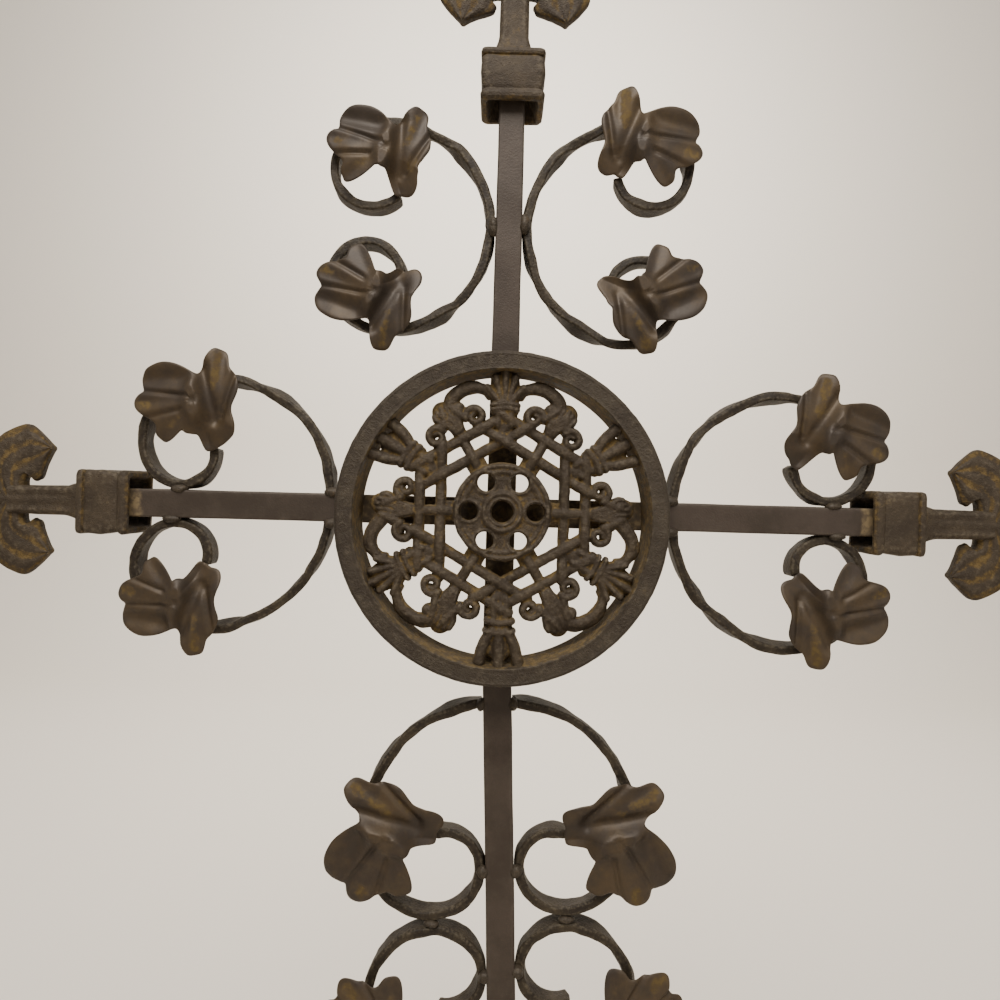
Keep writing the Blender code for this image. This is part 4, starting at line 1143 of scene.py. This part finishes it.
def loft(stations, flat=7, turn=4, steps=6):
    """Rings through stations of height, half across, half deep and corner, with steps between them."""
    wanted = np.linspace(0.0, len(stations) - 1.0, (len(stations) - 1) * steps + 1)
    values = [np.interp(wanted, np.arange(len(stations)), column) for column in np.array(stations).T]
    rings = []
    for height, across, deep, corner in zip(*values):
        outline, near = round_rectangle(across, deep, min(corner, across * 0.9, deep * 0.9), flat, turn)
        rings.append(np.stack([outline[:, 0], outline[:, 1], np.full(len(outline), height)], 1))
    return np.array(rings), np.tile(near, (len(wanted), 1))


def petal(way, top, neck_top, turnings):
    """A drooping petal: ribbed sections along a cubic curve through four knots, and its marks."""
    knots = ((0.0, neck_top - ROOT_OVERLAP), (PETAL_REACH * 0.74, neck_top + PETAL_REACH * 0.34),
             (PETAL_REACH * 0.84, neck_top - PETAL_REACH * 0.30),
             (PETAL_REACH * 0.90, top + NECK_LENGTH * 0.50))
    t = 1.0 - (1.0 - np.linspace(0.0, 1.0, 44)) ** 1.5
    weight = np.stack([(1 - t) ** 3, 3 * t * (1 - t) ** 2, 3 * t * t * (1 - t), t ** 3])
    slope = np.stack([-3 * (1 - t) ** 2, 3 * (1 - t) * (1 - 3 * t), 3 * t * (2 - 3 * t), 3 * t * t])
    line, run = np.array(knots).T @ weight, np.array(knots).T @ slope
    run = run / np.hypot(*run)
    wide = (PETAL_HALF * np.minimum(np.minimum(0.30 + 1.60 * t, 1.0), 4.2 * (1.0 - t)) + TIP_HALF) * 0.96
    wide = softened(wide)
    thick = FINIAL_DEPTH / 2 * (0.88 - 0.35 * t)
    section_across = np.cos(turnings)
    section_deep = np.sign(np.sin(turnings)) * np.abs(np.sin(turnings)) ** 0.55
    rib = np.cos(section_across * math.pi * 3.5)
    depth = section_deep * thick[:, None] * (0.90 + 0.08 * rib)
    a = section_across * wide[:, None]
    x = way * (line[0][:, None] - run[1][:, None] * a)
    z = line[1][:, None] + run[0][:, None] * a
    crest = np.broadcast_to(np.clip(rib, 0.0, 1.0) * 0.4, a.shape)
    return np.stack([x, depth, z], -1), crest, np.clip(0.30 - 0.5 * rib, 0.0, 1.0) * np.ones(a.shape)


def finial(name, mouth, bar_half, turn, seed):
    """A cast end piece: socket collar, ribbed neck, two drooping petals and a pointed middle leaf."""
    half, deep = COLLAR_HALF, COLLAR_HALF * 0.92
    top = mouth + COLLAR_LENGTH
    hollow, hollow_deep = bar_half + SOCKET_SLACK, BAR_DEPTH / 2 + SOCKET_SLACK
    floor = mouth + SOCKET_DEPTH
    length = COLLAR_LENGTH
    skins = []

    def add(rings, near, rust):
        points, faces = tube(rings)
        crest = np.append(near.ravel(), [0.0, 0.0])
        worn = np.append(np.broadcast_to(rust, near.shape).ravel(), [0.5, 0.5])
        skins.append((points, faces, {"crest": crest, "hollow": worn}))

    rings, near = loft([
        (floor, hollow, hollow_deep, 0.001),
        (mouth + 0.0012, half - MOUTH_WALL, deep - MOUTH_WALL, 0.0022),
        (mouth, half - MOUTH_WALL + 0.0008, deep - MOUTH_WALL + 0.0008, 0.0022),
        (mouth, half * 0.90, deep * 0.90, 0.0028),
        (mouth + length * 0.045, half * 0.965, deep * 0.965, 0.0030),
        (mouth + length * 0.11, half * 0.985, deep * 0.985, 0.0030),
        (mouth + length * 0.165, half * 0.955, deep * 0.965, 0.0030),
        (mouth + length * 0.21, half * 0.885, deep * 0.915, 0.0026),
        (mouth + length * 0.26, half * 0.915, deep * 0.940, 0.0026),
        (mouth + length * 0.52, half * 0.985, deep * 0.985, 0.0030),
        (top - CAP_THICK * 1.35, half * 0.955, deep * 0.960, 0.0030),
        (top - CAP_THICK, half * 0.905, deep * 0.910, 0.0030),
        (top - CAP_THICK * 0.86, half * 0.955, deep * 0.960, 0.0026),
        (top - CAP_THICK * 0.55, half * 0.985, deep * 0.985, 0.0026),
        (top - CAP_THICK * 0.15, half * 0.965, deep * 0.965, 0.0026),
        (top, half * 0.920, deep * 0.920, 0.0026),
    ])
    height = rings[..., 2]
    groove = np.exp(-((height - (top - CAP_THICK)) / 0.0012) ** 2)
    bulge = smooth_step(mouth + 0.0030 - height, 0.0, 0.003) * 0.9
    add(rings, near * 0.7, np.clip(groove * 0.55 + bulge * 0.6, 0.0, 1.0))
    slim = FINIAL_DEPTH / 2
    neck_top = top + NECK_LENGTH
    rings, near = loft([
        (top - ROOT_OVERLAP, NECK_HALF * 1.34, slim * 1.22, 0.003),
        (top + 0.0030, NECK_HALF * 1.26, slim * 1.16, 0.003),
        (top + 0.0098, NECK_HALF * 1.02, slim, 0.003),
        (top + 0.0120, NECK_HALF * 0.98, slim * 0.98, 0.003),
        (neck_top, NECK_HALF * 0.94, slim * 0.93, 0.003),
    ])
    rib = np.cos(np.clip(rings[..., 0] / NECK_HALF, -1.0, 1.0) * math.pi * 3.0)
    rings[..., 1] -= 0.0004 * rib * (rings[..., 1] < 0.0) * smooth_step(rings[..., 2], top, top + 0.01)
    add(rings, near * 0.6, 0.7 * np.exp(-((rings[..., 2] - top) / 0.003) ** 2))
    share = np.linspace(0.0, 1.0, 34)
    wide = SPEAR_HALF * (0.36 + 0.64 * np.sin(math.pi * np.minimum(share * 1.25, 1.0)) ** 0.8)
    wide = wide * (1.0 - share ** 3) + TIP_HALF
    height = neck_top - ROOT_OVERLAP + (SPEAR_LENGTH - 0.0002 + ROOT_OVERLAP) * share
    thick = slim * (0.80 - 0.45 * share ** 2)
    turnings = np.linspace(0.0, math.tau, 48, endpoint=False)
    across = np.cos(turnings) * wide[:, None] * 0.97
    deepness = np.sign(np.sin(turnings)) * np.abs(np.sin(turnings)) ** 0.8 * thick[:, None]
    vein = np.exp(-(across / 0.0012) ** 2) * 0.6 + 0.5 * np.cos(across / wide[:, None] * math.pi * 2.5)
    deepness = deepness * (0.90 + 0.10 * vein)
    rings = np.stack([across, deepness, np.broadcast_to(height[:, None], across.shape)], -1)
    keen = np.abs(np.cos(np.broadcast_to(turnings, across.shape))) ** 6
    add(rings, keen, np.clip(0.4 - vein * 0.5, 0.0, 1.0))
    for way in (-1, 1):
        add(*petal(way, top, neck_top, turnings))
    points, faces, marks = joined(skins)
    points = leaning(points, CROSSING, turn)
    points = points + 0.00016 * np.stack([noise(points, 0.003, seed + i) for i in range(3)], -1)
    node_name = name.replace(" ", "_")
    piece(node_name + "_casting", points, faces, marks, CAST_FINISH, [node_name], 45.0)


# Weld beads

def bead(centre, radii, seed):
    """A lumpy bead: an ellipsoid by two angles, its radius moved by noise."""
    up = np.linspace(-math.pi / 2, math.pi / 2, 16)[1:-1]
    around = np.linspace(0.0, math.tau, 22, endpoint=False)
    unit = np.stack([np.cos(up)[:, None] * np.cos(around), np.cos(up)[:, None] * np.sin(around),
                     np.broadcast_to(np.sin(up)[:, None], (len(up), len(around)))], -1)
    place = np.array(centre) + unit * radii
    lump = 1.0 + 0.16 * noise(place, 0.0026, seed) + 0.08 * noise(place, 0.0011, seed + 1)
    points, faces = tube(np.array(centre) + unit * radii * lump[..., None])
    return points, faces, {"crest": np.full(len(points), 0.5), "hollow": np.full(len(points), 0.20)}


def welds():
    """Beads where the scrolls meet the bars, each other and the medallion."""
    front = FRONT + 0.0020
    up, arm = SHAFT_WIDTH / 2, ARM_WIDTH / 2
    beads = []
    for i, side in enumerate((-1, 1)):
        beads.append(bead(CROSSING + (side * (up + 0.0006), front, BELLY_RISE + 0.001 * side),
                          (0.0030, 0.0036, 0.0056), 3 + i))
    for i, (side, way, along) in enumerate(((-1, 1, 0.182), (-1, -1, 0.186), (1, 1, 0.188), (1, -1, 0.190))):
        beads.append(bead(CROSSING + (side * along, front, way * (arm + 0.0005)),
                          (0.0048, 0.0034, 0.0024), 13 + i))
        beads.append(bead(CROSSING + (side * (RING_RADIUS + 0.0045), front - 0.0005, way * (arm + 0.0006)),
                          (0.0052, 0.0040, 0.0030), 23 + i))
    shaft_beads = []
    for side, sign in (("left", -1), ("right", 1)):
        line = rooted_line(LOWER_ENDS[side], up, LOWER_START)
        middle = line[2].max() + STRIP_THICK / 2 + PAIR_GAP / 2
        lowest = int(line[2].argmax())
        half_way = len(line[1]) // 2
        nearest = half_way + int(line[1][half_way:].argmin())
        shaft_beads += [
            ((sign * (up + 0.0010), front, BEND_DROP - LOWER_START), (0.0026, 0.0040, 0.0040)),
            ((sign * (up + 0.0012), front, BEND_DROP - line[2][nearest]), (0.0036, 0.0036, 0.0036)),
            ((sign * (up + 0.0012), front, BEND_DROP - 2 * middle + line[2][nearest]),
             (0.0034, 0.0036, 0.0038)),
            ((sign * line[1][lowest], front + 0.0016, BEND_DROP - middle), (0.0042, 0.0034, 0.0022)),
        ]
    for i, (centre, radii) in enumerate(shaft_beads):
        points, faces, marks = bead(centre, radii, 41 + i)
        beads.append((leaning(points, BEND, -SHAFT_LEAN), faces, marks))
    points, faces, marks = joined(beads)
    piece("weld_beads", points, faces, marks, WELD_FINISH, [], 60.0)


def plain_finish(name, colour):
    """A matt backdrop colour."""
    material = bpy.data.materials.new(name)
    material.use_nodes = True
    shader = material.node_tree.nodes["Principled BSDF"]
    shader.inputs["Base Color"].default_value = (*colour, 1.0)
    shader.inputs["Roughness"].default_value = 0.9
    return material


def stage():
    """A pale floor that curves up into a pale back, and soft studio lamps."""
    reach, depth, bend = 4.0, 2.2, 0.9
    t = np.linspace(0.0, math.pi / 2, 16)
    y = np.concatenate([[-4.0], depth + bend * np.sin(t), [depth + bend]])
    z = np.concatenate([[0.0], bend - bend * np.cos(t), [4.0]])
    x = np.array([-reach, reach])
    points = np.stack([np.broadcast_to(x[:, None], (2, len(y))), np.broadcast_to(y, (2, len(y))),
                       np.broadcast_to(z, (2, len(y)))], -1).reshape(-1, 3)
    mesh = bpy.data.meshes.new("pale_floor")
    faces = grid_quads(2, len(y))
    mesh.from_pydata(points.tolist(), [], faces.tolist())
    mesh.shade_smooth()
    mesh.materials.append(plain_finish("pale_floor", (0.80, 0.735, 0.645)))
    floor = bpy.data.objects.new("pale_floor", mesh)
    bpy.context.scene.collection.objects.link(floor)
    world = bpy.data.worlds.new("soft_room")
    bpy.context.scene.world = world
    world.use_nodes = True
    world.node_tree.nodes["Background"].inputs["Color"].default_value = (1.0, 0.955, 0.90, 1.0)
    world.node_tree.nodes["Background"].inputs["Strength"].default_value = 0.46
    for name, place, size, power, target in (
            ("top_lamp", (-0.15, -0.85, 1.85), 0.9, 36.0, CROSSING),
            ("side_lamp", (1.3, -1.2, 1.0), 1.0, 5.0, CROSSING),
            ("back_lamp", (0.0, 0.9, 2.6), 1.4, 135.0, np.array([0.0, 3.1, 1.7]))):
        lamp = bpy.data.lights.new(name, "AREA")
        lamp.size = size
        lamp.energy = power
        lamp.color = (1.0, 0.97, 0.92)
        thing = bpy.data.objects.new(name, lamp)
        place = np.array(place)
        aim = target - place
        aim = aim / np.linalg.norm(aim)
        side = np.cross(aim, (0.0, 0.0, 1.0))
        side = side / np.linalg.norm(side)
        up = np.cross(side, aim)
        turn = Matrix([[side[i], up[i], -aim[i]] for i in range(3)])
        thing.matrix_world = Matrix.Translation(place) @ turn.to_4x4()
        bpy.context.scene.collection.objects.link(thing)


# Camera: metres to a pixel of the photograph in the plane of the bars' front faces, the picture's
# roll, its viewing middle, the crossing's place in it, its focal length and its width, in pixels.
# The sensor is in millimetres.
SCALE = 0.000563
ROLL = math.radians(1.58)
VIEW_X, VIEW_Y = 498.0, 487.0
CROSS_X, CROSS_Y = 501.0, 512.6
FOCAL = 755.0
PICTURE = 1000.0
SENSOR = 36.0


def camera():
    """The camera where the photograph was taken from."""
    dx, dy = VIEW_X - CROSS_X, VIEW_Y - CROSS_Y
    c, s = math.cos(ROLL), math.sin(ROLL)
    place = CROSSING + ((dx * c + dy * s) * SCALE, FRONT - SCALE * FOCAL, (dx * s - dy * c) * SCALE)
    lens = bpy.data.cameras.new("camera")
    lens.sensor_width = SENSOR
    lens.lens = SENSOR * FOCAL / PICTURE
    lens.shift_x = (PICTURE / 2 - VIEW_X) / PICTURE
    lens.shift_y = -(PICTURE / 2 - VIEW_Y) / PICTURE
    lens.clip_start = 0.02
    thing = bpy.data.objects.new("camera", lens)
    thing.matrix_world = (Matrix.Translation(place) @ Matrix.Rotation(math.radians(90.0), 4, "X")
                          @ Matrix.Rotation(ROLL, 4, "Z"))
    bpy.context.scene.collection.objects.link(thing)
    bpy.context.scene.camera = thing


camera()
bars()
top_scrolls()
arm_scrolls()
lower_scrolls()
ring()
rosette()
finial("top finial", TOP_MOUTH, TOP_WIDTH / 2, 0.0, 61)
finial("right finial", ARM_MOUTH, ARM_WIDTH / 2, math.radians(90.0), 71)
finial("left finial", ARM_MOUTH, ARM_WIDTH / 2, math.radians(-90.0), 81)
welds()
stage()
